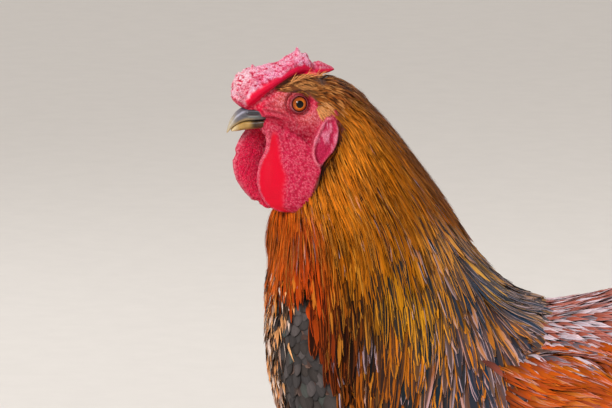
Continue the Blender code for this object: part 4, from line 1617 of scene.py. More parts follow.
FLOW = [  # at a place on the left side, which way feathers point
    ((0, 20, 484), (0, 1, 0.05)),
    ((8, 8, 479), (0.1, 1, -0.15)),
    ((0, 50, 478), (0, 0.8, -0.55)),
    ((14, 30, 478), (0.05, 0.95, -0.3)),
    ((19, 45, 462), (0.05, 0.65, -0.75)),
    ((0, 70, 450), (0, 0.68, -0.73)),
    ((0, 95, 419), (0, 0.6, -0.8)),
    ((0, 113, 391), (0, 0.58, -0.81)),
    ((0, 132, 368), (0, 0.67, -0.74)),
    ((0, 151, 351), (0, 0.86, -0.5)),
    ((0, 174, 344), (0, 1, -0.08)),
    ((25, 50, 445), (0.1, 0.42, -0.9)),
    ((33, 54, 428), (0.2, 0.4, -0.92)),
    ((20, 75, 430), (0.1, 0.52, -0.84)),
    ((0, 20, 435), (0, -0.12, -1)),
    ((0, 5, 405), (0, -0.1, -1)),
    ((0, -1, 375), (0, 0, -1)),
    ((0, 0, 340), (0, 0.03, -1)),
    ((0, 4, 300), (0, 0.1, -1)),
    ((0, 20, 245), (0, 0.5, -0.85)),
    ((0, 50, 205), (0, 0.85, -0.5)),
    ((30, 8, 300), (0.2, 0.1, -0.97)),
    ((50, 30, 260), (0.2, 0.35, -0.9)),
    ((40, 60, 205), (0.1, 0.8, -0.55)),
    ((85, 100, 230), (0, 0.72, -0.68)),
    ((75, 110, 190), (0, 0.8, -0.55)),
    ((0, 100, 170), (0, 1, -0.1)),
    ((0, 180, 158), (0, 1, 0.05)),
    ((0, 240, 170), (0, 0.95, 0.25)),
    ((0, 285, 205), (0, 0.85, 0.3)),
    ((0, 310, 250), (0, 0.85, 0.1)),
    ((0, 200, 347), (0, 1, 0.03)),
    ((40, 200, 342), (0.15, 1, -0.2)),
    ((0, 240, 354), (0, 1, 0.12)),
    ((0, 275, 372), (0, 0.92, 0.3)),
    ((50, 240, 345), (0.35, 0.8, -0.5)),
    ((70, 262, 320), (0.25, 0.7, -0.7)),
    ((60, 290, 330), (0.15, 0.75, -0.65)),
    ((80, 232, 312), (0.2, 0.66, -0.73)),
    ((50, 305, 300), (0, 0.7, -0.7)),
    ((93, 180, 285), (0, 0.98, -0.2)),
    ((88, 240, 275), (-0.1, 1, -0.05)),
    ((78, 280, 270), (-0.3, 1, 0)),
    ((88, 150, 205), (0, 0.5, -0.87)),
    ((82, 152, 165), (-0.2, 0.32, -0.93)),
    ((65, 156, 125), (-0.2, 0.12, -0.97)),
    ((55, 108, 180), (0, 0.2, -0.97)),
    ((60, 205, 185), (0, 0.62, -0.78)),
    ((20, 152, 150), (0, 0.35, -0.94)),
]
WING_FLOW = FLOW + [
    ((84, 62, 305), (0.1, 0.62, -0.78)),
    ((86, 85, 300), (0.1, 0.72, -0.7)),
    ((85, 112, 300), (0, 0.82, -0.57)),
    ((88, 90, 270), (0, 0.8, -0.6)),
    ((91, 140, 290), (0, 0.84, -0.54)),
    ((91, 150, 245), (0, 0.98, -0.12)),
]
CAPE_LEAN = [  # place on the left of the cape, and degrees that feathers lean back from straight down
    ((20, 5, 400), -3),
    ((42, 32, 404), 18),
    ((42, 52, 410), 25),
    ((25, 81, 410), 29),
    ((12, 103, 399), 33),
    ((25, 7, 387), -3),
    ((35, 15, 376), 0),
    ((48, 25, 374), 8),
    ((60, 59, 376), 10),
    ((62, 81, 369), 15),
    ((52, 99, 373), 18),
    ((62, 34, 339), 5),
    ((74, 52, 341), 2),
    ((80, 66, 327), -2),
    ((82, 81, 327), -2),
    ((80, 60, 300), 2),
    ((87, 81, 306), -5),
    ((88, 96, 306), -8),
    ((84, 100, 325), -4),
    ((76, 103, 343), 3),
    ((70, 75, 350), 4),
    ((66, 60, 355), 5),
    ((88, 108, 306), -4),
    ((86, 118, 316), 2),
    ((87, 130, 302), 12),
    ((55, 118, 361), 22),
    ((65, 125, 347), 20),
    ((74, 133, 334), 20),
    ((88, 80, 285), -5),
    ((82, 140, 313), 14),
    ((82, 155, 306), 22),
    ((68, 147, 333), 30),
    ((50, 140, 353), 30),
    ((72, 162, 323), 42),
    ((50, 162, 338), 52),
    ((35, 155, 348), 56),
    ((20, 167, 346), 66),
    ((20, 131, 374), 40),
    ((10, 118, 388), 36),
]
CAPE_FLOW = FLOW + [(at, (0, math.sin(math.radians(a)), -math.cos(math.radians(a)))) for at, a in CAPE_LEAN]
QUILL_FLOW = [  # for the quills of the folded wing
    ((90, 110, 245), (0, 1, -0.12)),
    ((90, 110, 285), (0, 1, -0.28)),
    ((93, 200, 270), (0, 1, -0.04)),
    ((88, 200, 235), (0, 1, 0.06)),
    ((78, 290, 262), (-0.35, 1, 0.08)),
    ((78, 290, 280), (-0.35, 1, -0.1)),
]


def flow(points, normals, guides):
    """Which way feathers lie at points of a surface."""
    heading = zone_mix(points, [(place, unit(np.array(way, float))) for place, way in guides], 1, 7.0)
    heading[:, 0] *= np.tanh(points[:, 0] / 7)
    # on the flanks the direction seen from the side is kept, and only its X follows the surface
    sideways = np.where(np.abs(normals[:, 0]) > 0.2, normals[:, 0], 0.2)
    level = -(heading[:, 1] * normals[:, 1] + heading[:, 2] * normals[:, 2]) / sideways
    share = ramp(np.abs(normals[:, 0]), 0.3, 0.55)
    heading[:, 0] += (np.clip(level, -1.6, 1.6) - heading[:, 0]) * share
    return unit(heading - normals * (heading * normals).sum(-1, keepdims=True))


def surface_tree(points, triangles):
    return BVHTree.FromPolygons(points.tolist(), triangles.tolist())


class Ground:
    """A smooth closed surface that feathers are laid on, and the guides to how they lie."""

    def __init__(self, piece, guides=FLOW):
        self.guides = guides
        self.points, self.triangles = points_of(piece), triangles_of(piece)
        self.normals = normals_of(self.points, self.triangles)
        self.tree = surface_tree(self.points, self.triangles)

    def nearest(self, points):
        found = [self.tree.find_nearest(p) for p in points.tolist()]
        places = np.array([place for place, *_ in found])
        faces = self.triangles[[face for _, _, face, _ in found]]
        return places, unit(self.normals[faces].mean(1))

    def strewn(self, count):
        """Random points over the whole surface."""
        a, b, c = (self.points[self.triangles[:, k]] for k in range(3))
        area = np.linalg.norm(np.cross(b - a, c - a), axis=-1)
        face = random.choice(len(area), count, p=area / area.sum())
        first = np.sqrt(random.random((2, count))[0])[:, None]
        second = random.random((count, 1))
        return a[face] * (1 - first) + b[face] * first * (1 - second) + c[face] * first * second


def solid_ground(nodes, guides=FLOW):
    """The ground over solids of the part, blended together."""
    piece = envelope("ground", nodes, GROUND_VOXEL, 12)
    ground = Ground(piece, guides)
    bpy.data.objects.remove(piece)
    return ground


def thinned(points, gaps):
    """Drops points that stand closer to an earlier one than their gap."""
    size = float(gaps.max())
    cells, kept = {}, []
    around = [(i, j, k) for i in (-1, 0, 1) for j in (-1, 0, 1) for k in (-1, 0, 1)]
    around.sort(key=lambda cell: sum(map(abs, cell)))
    for number, ((x, y, z), gap) in enumerate(zip(points.tolist(), gaps.tolist())):
        cx, cy, cz = int(x // size), int(y // size), int(z // size)
        limit = gap * gap
        for i, j, k in around:
            others = cells.get((cx + i, cy + j, cz + k), ())
            if any((px - x) ** 2 + (py - y) ** 2 + (pz - z) ** 2 < limit for px, py, pz in others):
                break
        else:
            cells.setdefault((cx, cy, cz), []).append((x, y, z))
            kept.append(number)
    return np.array(kept, int)


def laid(ground, roots, lengths, rows, turn, follow=0.6, guides=None):
    """The lines that feathers take over the ground, and the way up at each point.

    turn is how far each one swings from the lie of the coat, and follow how soon a line bends
    with it.
    """
    guides = guides or ground.guides
    places, ups = ground.nearest(roots)
    heading = swung(flow(places, ups, guides), ups, turn)
    step = (lengths / (rows - 1))[:, None]
    line, normals = [places], [ups]
    for _ in range(rows - 1):
        places, ups = ground.nearest(places + heading * step)
        wanted = swung(flow(places, ups, guides), ups, turn * 0.6)
        heading = heading * (1 - follow) + wanted * follow
        heading = unit(heading - ups * (heading * ups).sum(-1, keepdims=True))
        line.append(places)
        normals.append(ups)
    return np.stack(line, 1), np.stack(normals, 1)


def swung(directions, ups, turn):
    """Directions turned about the way up."""
    return directions * np.cos(turn)[:, None] + np.cross(ups, directions) * np.sin(turn)[:, None]


# The spine that the coat is unwrapped round: one bake patch per feather lies at its root's place
SPINE = np.array([(0, 340, 380), (0, 280, 300), (0, 190, 245), (0, 95, 270), (0, 62, 360)], float)
SPINE = np.vstack([SPINE, [(0, 46, 440), (0, 30, 464), (0, 4, 462)]])
PATCH = 0.003  # the size of a feather's patch, as a share of the bake's picture


def unwrapped(points):
    """Place of points on an unwrap of the skin: along its spine, and round it."""
    best = np.full(len(points), 1e9)
    along, around = np.zeros(len(points)), np.zeros(len(points))
    lengths = np.linalg.norm(np.diff(SPINE, axis=0), axis=-1)
    start = np.concatenate([[0], np.cumsum(lengths)])
    for i, (a, b) in enumerate(zip(SPINE, SPINE[1:])):
        heading = (b - a) / lengths[i]
        reach = np.clip((points - a) @ heading, 0, lengths[i])
        away = points - a - reach[:, None] * heading
        gap = np.linalg.norm(away, axis=-1)
        nearer = gap < best
        best = np.where(nearer, gap, best)
        along = np.where(nearer, (start[i] + reach) / start[-1], along)
        angle = np.arctan2(away[:, 0], away @ np.cross(heading, [1.0, 0, 0]))
        around = np.where(nearer, angle / (2 * math.pi) + 0.5, around)
    return np.stack([0.01 + 0.98 * around, 0.01 + 0.98 * along], -1)


def vane_faces(count, rows, columns):
    """The faces of feathers whose points are (feather, row, column)."""
    index = np.arange(count * rows * columns).reshape(count, rows, columns)
    quads = [index[:, :-1, :-1], index[:, :-1, 1:], index[:, 1:, 1:], index[:, 1:, :-1]]
    return np.stack(quads, -1).reshape(-1, 4)


def add_vane_uvs(piece, quads, roots, rows, columns):
    """The bake's map, with a patch for each feather at its root's place, and the vane's own."""
    u, v = np.meshgrid(np.linspace(0, 1, columns), np.linspace(0, 1, rows))
    vane = np.stack([u, v], -1)[None]
    patch = unwrapped(roots)[:, None, None] + (vane - 0.5) * PATCH
    for word, places in (("OFBake", patch), ("vane", np.broadcast_to(vane, patch.shape))):
        layer = piece.data.uv_layers.new(name=word)
        places = places.reshape(-1, 2)[quads.ravel()]
        layer.data.foreach_set("uv", places.astype(np.float32).ravel())


def vane_mesh(name, line, ups, half, lift, centre, edge, marks, look, columns=3, camber=0.3, **more):
    """Thin feather vanes as one mesh.

    line and ups are (feather, row, 3); half widths and lifts are (feather, row). centre and edge
    are the colours down the shaft and the rims. marks gives each feather its stripe's strength,
    the stripe's share of the width, and a random number. More: roll about the shaft, own (how
    far the shading follows the vane rather than the ground) and the stripes' colours.
    """
    count, rows = line.shape[:2]
    centre_line = line + ups * lift[..., None]
    heading = unit(np.gradient(centre_line, axis=1))
    side = unit(np.cross(heading, ups))
    if "roll" in more:
        roll = more["roll"][:, None, None]
        side = unit(side * np.cos(roll) + ups * np.sin(roll))
    up = unit(np.cross(side, heading))
    across = np.linspace(-1, 1, columns)
    offset = side[:, :, None] * across[:, None] - up[:, :, None] * (camber * across**2)[:, None]
    points = centre_line[:, :, None] + offset * half[:, :, None, None]
    share = np.abs(across)[None, None, :, None]
    colours = centre[:, :, None] * (1 - share) + edge[:, :, None] * share
    quads = vane_faces(count, rows, columns)
    piece = mesh_object(name, points.reshape(-1, 3), quads)
    paint(piece, "colour", colours.reshape(-1, 3))
    for k, word in enumerate(("stripe", "stripe_width", "chance")):
        values_on(piece, word, np.repeat(marks[:, k], rows * columns))
    if "stripes" in more:
        paint(piece, "stripe_colour", np.repeat(more["stripes"], rows * columns, axis=0))
    add_vane_uvs(piece, quads, line[:, 0], rows, columns)
    own = more.get("own", 0.45)
    tilt = side[:, :, None] * (camber * 1.4 * across)[:, None]
    normals = unit(ups[:, :, None] * (1 - own) + (up[:, :, None] + tilt) * own)
    piece.data.normals_split_custom_set_from_vertices(normals.reshape(-1, 3).tolist())
    piece.data.materials.append(look)
    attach(piece, "root")
    return piece


def between_rows(values, share):
    """Values at other places down the feathers' rows."""
    place = share * (values.shape[1] - 1)
    low = np.minimum(place.astype(int), values.shape[1] - 2)
    part = (place - low)[None, :, None]
    return values[:, low] * (1 - part) + values[:, low + 1] * part


def outline(share, kind):
    """Half width down a feather, as a share of its greatest."""
    if kind == "hackle":  # parallel, then drawn to a point
        shape = ramp(share, -0.1, 0.25) * (1 - ramp(share, 0.5, 1.04) * 0.97)
    elif kind == "lance":  # broad for longer
        narrowed = np.clip(share / 0.42 - 1.38, 0, 1) ** 1.6 * 0.98
        shape = ramp(share, -0.1, 0.3) * np.sqrt(1 - narrowed)
    elif kind == "contour":  # broad with a round tip
        narrowed = np.clip(share / 0.38 - 1.63, 0, 0.99) ** 2
        shape = ramp(share, -0.25, 0.5) * np.sqrt(1 - narrowed)
    elif kind == "flight":  # even, with a rounded tip
        narrowed = ramp(share, 0.8, 1.0) ** 2 * 0.97
        shape = ramp(share, -0.15, 0.2) * np.sqrt(1 - narrowed)
    else:  # a strand
        shape = 1 - 0.93 * share**1.5
    return shape


def jittered(values, amount):
    """Values each changed at random by up to the given share."""
    return values * (1 + random.uniform(-amount, amount, np.shape(values)))


def alike(colour, count):
    """The same colour for each feather."""
    return np.tile(colour, (count, 1))


def tinted(colours, amount, warmth=0.0):
    """Feather colours, each a little lighter or darker and warmer or cooler."""
    count = len(colours)
    tone = random.uniform(-amount, amount, (count, 1))
    shift = random.uniform(-warmth, warmth, (count, 1)) * np.array([1, 0, -1])
    return np.clip(colours * (1 + tone + shift), 0.001, 1)


def smooth_enough(line, ups):
    """Whether each feather's line runs on smoothly, rather than crumpling in a crease of the ground."""
    steps = np.diff(line, axis=1)
    sizes = np.linalg.norm(steps, axis=-1)
    reach = np.linalg.norm(line[:, -1] - line[:, 0], axis=-1)
    turns = (unit(steps[:, 1:]) * unit(steps[:, :-1])).sum(-1).min(1)
    bends = (ups[:, 1:] * ups[:, :-1]).sum(-1).min(1)
    around = (ups[:, 0] * ups[:, -1]).sum(-1)
    even = sizes.min(1) > 0.45 * sizes.mean(1)
    return (reach > 0.8 * sizes.sum(1)) & (turns > 0.75) & even & (bends > 0.86) & (around > 0.5)


def grown(
    name, ground, roots, length, half, kind, rows, colour, tip, marks, look,
    lines=None, wander=0.08, depth=3.0, rise=0.6, spread=0.8, up_by=0.55, flick=0, roll=0.12,
    tip_from=0.5, base_shade=0.45, rim_tone=0.85, stripes=None, **vane,
):
    """Lays feathers and turns them into one piece.

    wander is how far they swing from the lie of the coat, depth how deep the roots lie and rise
    how high the feathers stand; spread and flick make that uneven, and up_by is where along them
    they have risen. tip is the colour that the rims end in, from tip_from on.
    """
    turn = random.normal(0, wander, len(roots))
    line, ups = lines or laid(ground, roots, length, rows, turn)
    kept = smooth_enough(line, ups)
    line, ups, roots, half = (a[kept] for a in (line, ups, roots, half))
    colour, tip, marks = (a[kept] for a in (colour, tip, marks))
    depth, rise = (a[kept] if np.ndim(a) else a for a in (depth, rise))
    share = np.linspace(0, 1, rows)
    if kind == "contour":  # rows closer together towards the round tip
        share = 1 - (1 - share) ** 1.7
        line, ups = (between_rows(a, share) for a in (line, ups))
    swell = random.uniform(0, spread, len(roots))[:, None]
    depth = np.broadcast_to(depth, len(roots))[:, None]
    lift = -depth + (depth + rise + swell) * ramp(share, 0, up_by)[None]
    lift = lift + flick * random.random((len(roots), 1)) * share[None] ** 3
    width = half[:, None] * outline(share, kind)[None]
    # Each feather darker towards its root: painted shade under the feathers that overlap it.
    tone = (1 - base_shade) + base_shade * ramp(share, 0.1, 0.75)
    centre = colour[:, None] * tone[None, :, None]
    ends = np.broadcast_to(tip[:, None], centre.shape)
    # Rims darker than the middle where rim_tone is below 1: painted shade between feathers.
    edge = mix(centre * rim_tone, ends, ramp(share, tip_from, tip_from + 0.35)[None])
    vane["roll"] = random.normal(0, roll, len(roots))
    if stripes is not None:
        vane["stripes"] = stripes[kept]
    return vane_mesh(name, line, ups, width, lift, centre, edge, marks, look, **vane)


def marks_of(count, stripe=0.0, width=0.3):
    """Marks for feathers: stripe strength, stripe width, chance."""
    made = np.empty((count, 3))
    made[:, 0], made[:, 1], made[:, 2] = stripe, width, random.random(count)
    return made


# ---------------------------------------------------------------- feather materials


def feather_look(name, stripe, roughness, barbs, slant, contrast, sheen=0.0, gloss=0.12, shaft=None):
    """A vane: barbs slanting from the shaft, a dark stripe where the marks ask for one.

    Without a stripe colour, each feather has its own.
    """
    look = Look(name, Sheen_Weight=sheen, Specular_IOR_Level=gloss, Sheen_Roughness=0.4)
    split = look.add("ShaderNodeSeparateXYZ", {0: look.add("ShaderNodeUVMap", uv_map="vane").outputs[0]})
    u, v = split.outputs[0], split.outputs[1]
    across = look.times(look.math("ABSOLUTE", look.math("SUBTRACT", u, 0.5)), 2.0)
    along = look.math("SUBTRACT", look.times(v, barbs), look.times(across, slant))
    apart = look.times(look.attribute("chance"), 97.0)
    barb = look.noise(look.add("ShaderNodeCombineXYZ", {0: along, 1: apart, 2: u}).outputs[0], 1.0, 2.0)
    colour = look.brighten(look.painted(), barb, 1 - contrast, 1 + contrast)
    ragged = look.math("ADD", across, look.times(look.math("SUBTRACT", barb, 0.5), 0.35))
    within = look.ramp(look.math("SUBTRACT", ragged, look.attribute("stripe_width")), 0.16, -0.06)
    strength = look.times(look.attribute("stripe"), within)
    strength = look.times(strength, look.ramp(v, 0.25, 0.5))
    colour = look.mix(strength, colour, look.painted("stripe_colour") if stripe is None else rgba(stripe))
    if shaft is not None:
        colour = look.mix(look.ramp(across, 0.09, 0.03, 0, 0.7), colour, rgba(shaft))
    rough = look.ramp(barb, 0.2, 0.8, roughness - 0.08, roughness + 0.12)
    return look.finish(colour, rough, barb, 0.0002, 0.45)


# ---------------------------------------------------------------- the coat, tract by tract


def node_tree(node):
    """A search tree of a CAD node's surface, in millimetres."""
    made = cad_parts[node]
    return surface_tree(points_of(made), triangles_of(made))


COVER_REACH = 45.0  # how far out a solid may lie over a point
X, Y, Z = 0, 1, 2


def hidden_by(points, ups, node):
    """Whether a node lies over the points."""
    tree = node_tree(node)
    pairs = zip((points + ups * 0.5).tolist(), ups.tolist())
    return np.array([tree.ray_cast(p, n, COVER_REACH)[0] is not None for p, n in pairs])


def by(axis, places, values):
    """A measure that changes along one axis."""
    return lambda p: np.interp(p[:, axis], places, values)


def at(measure, points):
    """A measure at points; it may be one number."""
    return measure(points) if callable(measure) else np.full(len(points), float(measure))


def roots_on(ground, count, gap_at, keep):
    """Roots strewn over the part of the ground that keep() allows."""
    points = ground.strewn(count)
    points = points[keep(points)]
    return points[thinned(points, at(gap_at, points))]


CAPE_TOP = 480  # height of the highest hackles
CAPE_TRIES = 260000  # how many roots are strewn before they are thinned


def cape_roots(ground, places, gaps, least):
    """Roots over the cape that stand at least so far above its edge, and their place on it.

    places are distances below the cape's top, and gaps how far apart roots stand there.
    """
    points = ground.strewn(CAPE_TRIES)
    head = unturned(points)
    under_wattle = 40 * ramp(head[:, 2], 426, 402)
    bare = (head[:, 1] < feather_edge(head[:, 2]) + 0.6 - under_wattle) & (head[:, 2] > HEAD_FOOT)
    down, left, off = on_cape(points)
    kept = (off < 6) & ~bare & (points[:, 2] < CAPE_TOP)
    points, down, left = points[kept], down[kept], left[kept]
    kept = thinned(points, np.interp(down, places, gaps))
    points, down, left = points[kept], down[kept], left[kept]
    left = left + front_fall(points) + rear_fall(points)
    good = left > least
    return points[good], down[good], left[good]


def front_fall(roots):
    """How much further than the cape's edge feathers reach at the throat; they part at its sides."""
    side = np.abs(roots[:, 0])
    return (24 * bump(side, 0, 20) - 60 * bump(side, 42, 11)) * ramp(roots[:, 1], 45, 28)


def rear_fall(roots):
    """How much further the feathers over the wing's shoulder reach."""
    out, y = np.abs(roots[:, 0]), roots[:, 1]
    return 25 * bump(y, 136, 30) * ramp(out, 40, 58) + 10 * ramp(y, 125, 145) * ramp(out, 44, 30)


HACKLE_ROWS = 10
UPPER_CAPE = 62  # how far down the cape its fine feathers reach


def hackle_tints(tips):
    """The hackles' colours, how strong their stripes are, and the colours of their tips."""
    count = len(tips)
    colour = tinted(hackle_colour(tips), 0.26, 0.08)
    chance = random.random(count)
    colour = mix(colour, colour * 0.22, (chance < 0.1) * 0.9)
    colour = mix(colour, srgb(222, 150, 50), (chance > 0.88) * 0.35)
    striped = (random.random(count) < hackle_share(tips, 2)) * random.uniform(0.75, 1, count)
    # Pale lavender tips on some: partly the feathers' own pale tips, partly painted reflection of the sky.
    pale = (random.random(count) < hackle_share(tips, 3)) * random.uniform(0.5, 1, count)
    return colour, striped, mix(colour * 1.3, tinted(alike(LAVENDER, count), 0.2), pale)


def grow_hackles(outer):
    """The neck's gold cape: fine strands above, broad striped feathers towards the edge."""
    roots, down, left = cape_roots(outer, [0, 50, 110, 160], [0.95, 1.2, 2.4, 3.3], 12)
    count = len(roots)
    length = jittered(np.interp(down, [0, 30, 80, 130], [15, 24, 42, 56]), 0.2)
    over_back = ramp(roots[:, 1], 110, 145) * ramp(np.abs(roots[:, 0]), 62, 40)
    uneven = 1 + 0.9 * ramp(roots[:, 1], 100, 145) + 1.6 * over_back
    length = np.minimum(length, left + random.uniform(-9, 8, count) * uneven)
    half = jittered(np.interp(down, [0, 50, 100, 150], [0.38, 0.64, 1.6, 3.2]), 0.35)
    lines = laid(outer, roots, length, HACKLE_ROWS, random.normal(0, 0.07, count))
    tips = lines[0][:, -1]
    rear = ramp(tips[:, 1], 90, 140)
    colour, striped, tip = hackle_tints(tips)
    marks = marks_of(count, striped, jittered(0.54 + 0.24 * rear - 0.3 * over_back, 0.25))
    # Stripes near black at the front, teal and blue further back: the teal and blue are painted sheen of the
    # black's iridescence.
    dark = mix(srgb(18, 10, 6), srgb(15, 34, 42), ramp(tips[:, 1], 50, 95))
    dark = mix(dark, srgb(28, 54, 78), rear * random.random(count))
    look = feather_look("hackle", None, 0.48, 90, 20, 0.32, gloss=0.06)
    rear_low = ramp(roots[:, 1], 100, 150)
    depth = np.interp(down, [0, 30, 90], [0.8, 1.8, 4.0]) + 1.5 * rear_low
    rise = np.interp(down, [0, 40, 90, 130], [0.3, 1.4, 0.8, -0.6]) - 3.4 * rear_low
    rise = rise - 2.4 * ramp(roots[:, 1], 26, 8) + 0.2 * rear_fall(roots) * ramp(left, 45, 20)
    upper, on_left = down < UPPER_CAPE, roots[:, 0] > 0
    for name, chosen, kind, base_shade in (
        ("hackles_upper", upper, "hackle", 0.4),
        ("hackles_left", ~upper & on_left, "lance", 0.75),
        ("hackles_right", ~upper & ~on_left, "lance", 0.75),
    ):
        placed, size, width, hue, rim, mark = (a[chosen] for a in (roots, length, half, colour, tip, marks))
        piece = grown(
            name, outer, placed, size, width, kind, HACKLE_ROWS, hue, rim, mark, look,
            lines=[a[chosen] for a in lines], depth=depth[chosen], rise=rise[chosen][:, None], spread=1.4,
            flick=1.6, roll=0.28, own=0.55, base_shade=base_shade, tip_from=0.4, stripes=dark[chosen],
        )


def grow_wisps(outer):
    """Loose silky strands over the hackles."""
    roots, down, left = cape_roots(outer, [0, 60, 110, 160], [1.0, 1.3, 3.6, 7.0], 20)
    count = len(roots)
    length = jittered(np.interp(down, [0, 60, 150], [12, 26, 34]), 0.3)
    length = np.minimum(length, left + 2)
    half = jittered(np.interp(down, [0, 150], [0.16, 0.26]), 0.35)
    lines = laid(outer, roots, length, 6, random.normal(0, 0.1, count))
    tips = lines[0][:, -1]
    colour = tinted(hackle_colour(tips), 0.3, 0.1)
    kind = random.random(count)
    colour = mix(colour, srgb(226, 156, 70), (kind < 0.2) * 0.5)
    colour = mix(colour, srgb(16, 10, 8), (kind > 0.74) * 0.9)
    # Some strands silver and lavender: partly their own pale colour, partly painted reflection of the sky.
    silver = tinted(mix(srgb(186, 132, 112), LAVENDER, ramp(tips[:, 1], 60, 110)), 0.2)
    colour = mix(colour, silver, (random.random(count) < hackle_share(tips, 3) * 0.5) * 0.75)
    rise = np.interp(down, [0, 60, 120], [0.9, 2.0, 0.6])
    rise = rise - 3.2 * ramp(roots[:, 1], 100, 150) - 2.4 * ramp(roots[:, 1], 26, 8)
    piece = grown(
        "hackle_wisps", outer, roots, length, half, "strand", 6, colour, colour, marks_of(count),
        feather_look("wisp", STEEL, 0.5, 40, 0, 0.12, gloss=0.05), lines=lines, depth=1.0,
        rise=rise[:, None], spread=1.6, flick=2.0, columns=2, camber=0.0, own=0.2, up_by=0.4, base_shade=0.5,
    )


def grow_crown(ground):
    """Short feathers over the crown, brow and the back of the cheek."""

    def on_crown(p):
        head = unturned(p)
        edge = head[:, 1] > feather_edge(head[:, 2]) - 1 - 3.2 * random.random(len(p)) ** 2
        under_comb = head_regions(head)["comb"] > 0.4
        return edge & (p[:, 2] > 436) & ~under_comb & (head[:, 1] < 62) & (head[:, 2] < 490)

    roots = roots_on(ground, 330000, by(Y, [5, 30, 60], [0.75, 1.0, 1.5]), on_crown)
    count = len(roots)
    length = jittered(by(Y, [0, 15, 35, 62], [4, 6.5, 10, 15])(roots), 0.25)
    above_ear = np.exp(-((unturned(roots)[:, 1] - 31) ** 2) / 60 - (roots[:, 2] - 471) ** 2 / 20)
    length = length * (1 - 0.55 * above_ear)
    half = jittered(by(Y, [0, 20, 60], [0.26, 0.42, 0.7])(roots), 0.25)
    colour = tinted(hackle_colour(roots), 0.3, 0.1)
    kind = random.random(count)
    colour = mix(colour, srgb(210, 142, 78), (kind < 0.26) * 0.6)
    colour = mix(colour, srgb(46, 24, 12), (kind > 0.84) * 0.8)
    brow = np.exp(-((roots[:, 1] - 12) ** 2) / 130 - (roots[:, 2] - 479) ** 2 / 44)
    colour = mix(colour, tinted(alike(srgb(206, 142, 84), count), 0.25), brow * 0.92)
    rise = by(Y, [0, 20, 60], [0.45, 0.9, 1.5])(roots)
    piece = grown(
        "head_feathers", ground, roots, length, half, "hackle", 6, colour, colour * 1.2, marks_of(count),
        feather_look("crown_feather", STEEL, 0.55, 24, 6, 0.25), wander=0.16, depth=0.2,
        rise=rise[:, None], spread=0.6, flick=0.6, roll=0.3, base_shade=0.2,
    )


BRISTLE_TAN = srgb(218, 150, 92)
EAR_BRISTLES = 420
COMB_BRISTLES = 120


def grow_ear_tufts():
    """Tan bristles over each ear's opening, and a few pale hairs behind the comb."""
    look = feather_look("bristle", STEEL, 0.6, 12, 0, 0.15, sheen=0.08)
    count = EAR_BRISTLES
    for side, word in SIDES:
        angle = random.uniform(0, 2 * math.pi, count)
        far = np.sqrt(random.random(count))
        y = 29.6 + 4.2 * far * np.cos(angle) + 1.4 * far * np.sin(angle)
        z = 466.1 + 3.9 * far * np.sin(angle)
        start = np.stack([side * (18.6 - 0.9 * far**2), y, z], -1)
        out = side * random.uniform(0.12, 0.5, count)
        aim = unit(np.stack([out, np.full(count, 0.62), np.full(count, -0.62)], -1))
        aim = unit(aim + random.normal(0, 0.16, (count, 3)))
        tuft = bristles(f"ear_tuft_{word}", start, aim, side, random.uniform(3.2, 6.2, count), 0.26, look)
        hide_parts(f"ear_{word}")
    count = COMB_BRISTLES
    y = random.uniform(9, 30, count)
    out = np.interp(y, [9, 15, 22, 30], [14.6, 13.6, 11, 7])
    way = random.choice((-1, 1), count)
    start = np.stack([way * out, y, np.interp(y, [9, 16, 30], [481.5, 484, 484.5])], -1)
    back = random.normal(0.7, 0.35, count)
    aim = unit(np.stack([way * random.uniform(0.1, 0.35, count), back, random.uniform(0.25, 1.0, count)], -1))
    bristles("comb_hairs", start, aim, 1, random.uniform(5, 11, count), 0.24, look)


def bristles(name, start, aim, side, length, half, look):
    """Stiff hairs from points on the unturned head that bend a little downwards."""
    rows, count = 5, len(start)
    share = np.linspace(0, 1, rows)
    line = start[:, None] + aim[:, None] * (length[:, None] * share)[..., None]
    line[..., 2] -= (length * 0.18)[:, None] * share**2
    ups = np.broadcast_to(unit(np.array([side, -0.35, 0.25])), line.shape)
    tan = tinted(alike(BRISTLE_TAN, count), 0.4, 0.08)
    colour = tan[:, None] * (0.55 + 0.6 * share)[None, :, None]
    width = np.full((count, 1), half) * outline(share, "strand")
    line = turned(line.reshape(-1, 3)).reshape(line.shape)
    marks, lift = marks_of(count), np.zeros((count, rows))
    return vane_mesh(name, line, ups, width, lift, colour, colour, marks, look, columns=2, camber=0, own=0.3)


WING = [  # y, lower edge, upper edge
    (52, 284, 294),
    (64, 262, 312),
    (90, 246, 321),
    (125, 236, 325),
    (165, 231, 325),
    (205, 231, 318),
    (240, 237, 307),
    (268, 246, 296),
    (292, 255, 284),
    (308, 263, 274),
]


def wing_share(p):
    """Whether points are on the folded wing, and how far down it they lie."""
    y, low, high = np.array(WING, float).T
    bottom, top = np.interp(p[:, 1], y, low), np.interp(p[:, 1], y, high)
    down = (top - p[:, 2]) / (top - bottom)
    inside = (p[:, 1] > 50) & (p[:, 1] < 308) & (down > -0.12) & (down < 1.08) & (np.abs(p[:, 0]) > 52)
    return inside, down


def visible_roots(ground, count, gap_at, keep, length_at, ahead=16):
    """Roots of feathers that reach, or nearly reach, out from under the cape."""
    roots = roots_on(ground, count, gap_at, keep)
    length = jittered(at(length_at, roots), 0.12)
    line, ups = laid(ground, roots, length + ahead, 4, np.zeros(len(roots)))
    shown = ~hidden_by(line[:, -1], ups[:, -1], "neck")
    return roots[shown], length[shown]


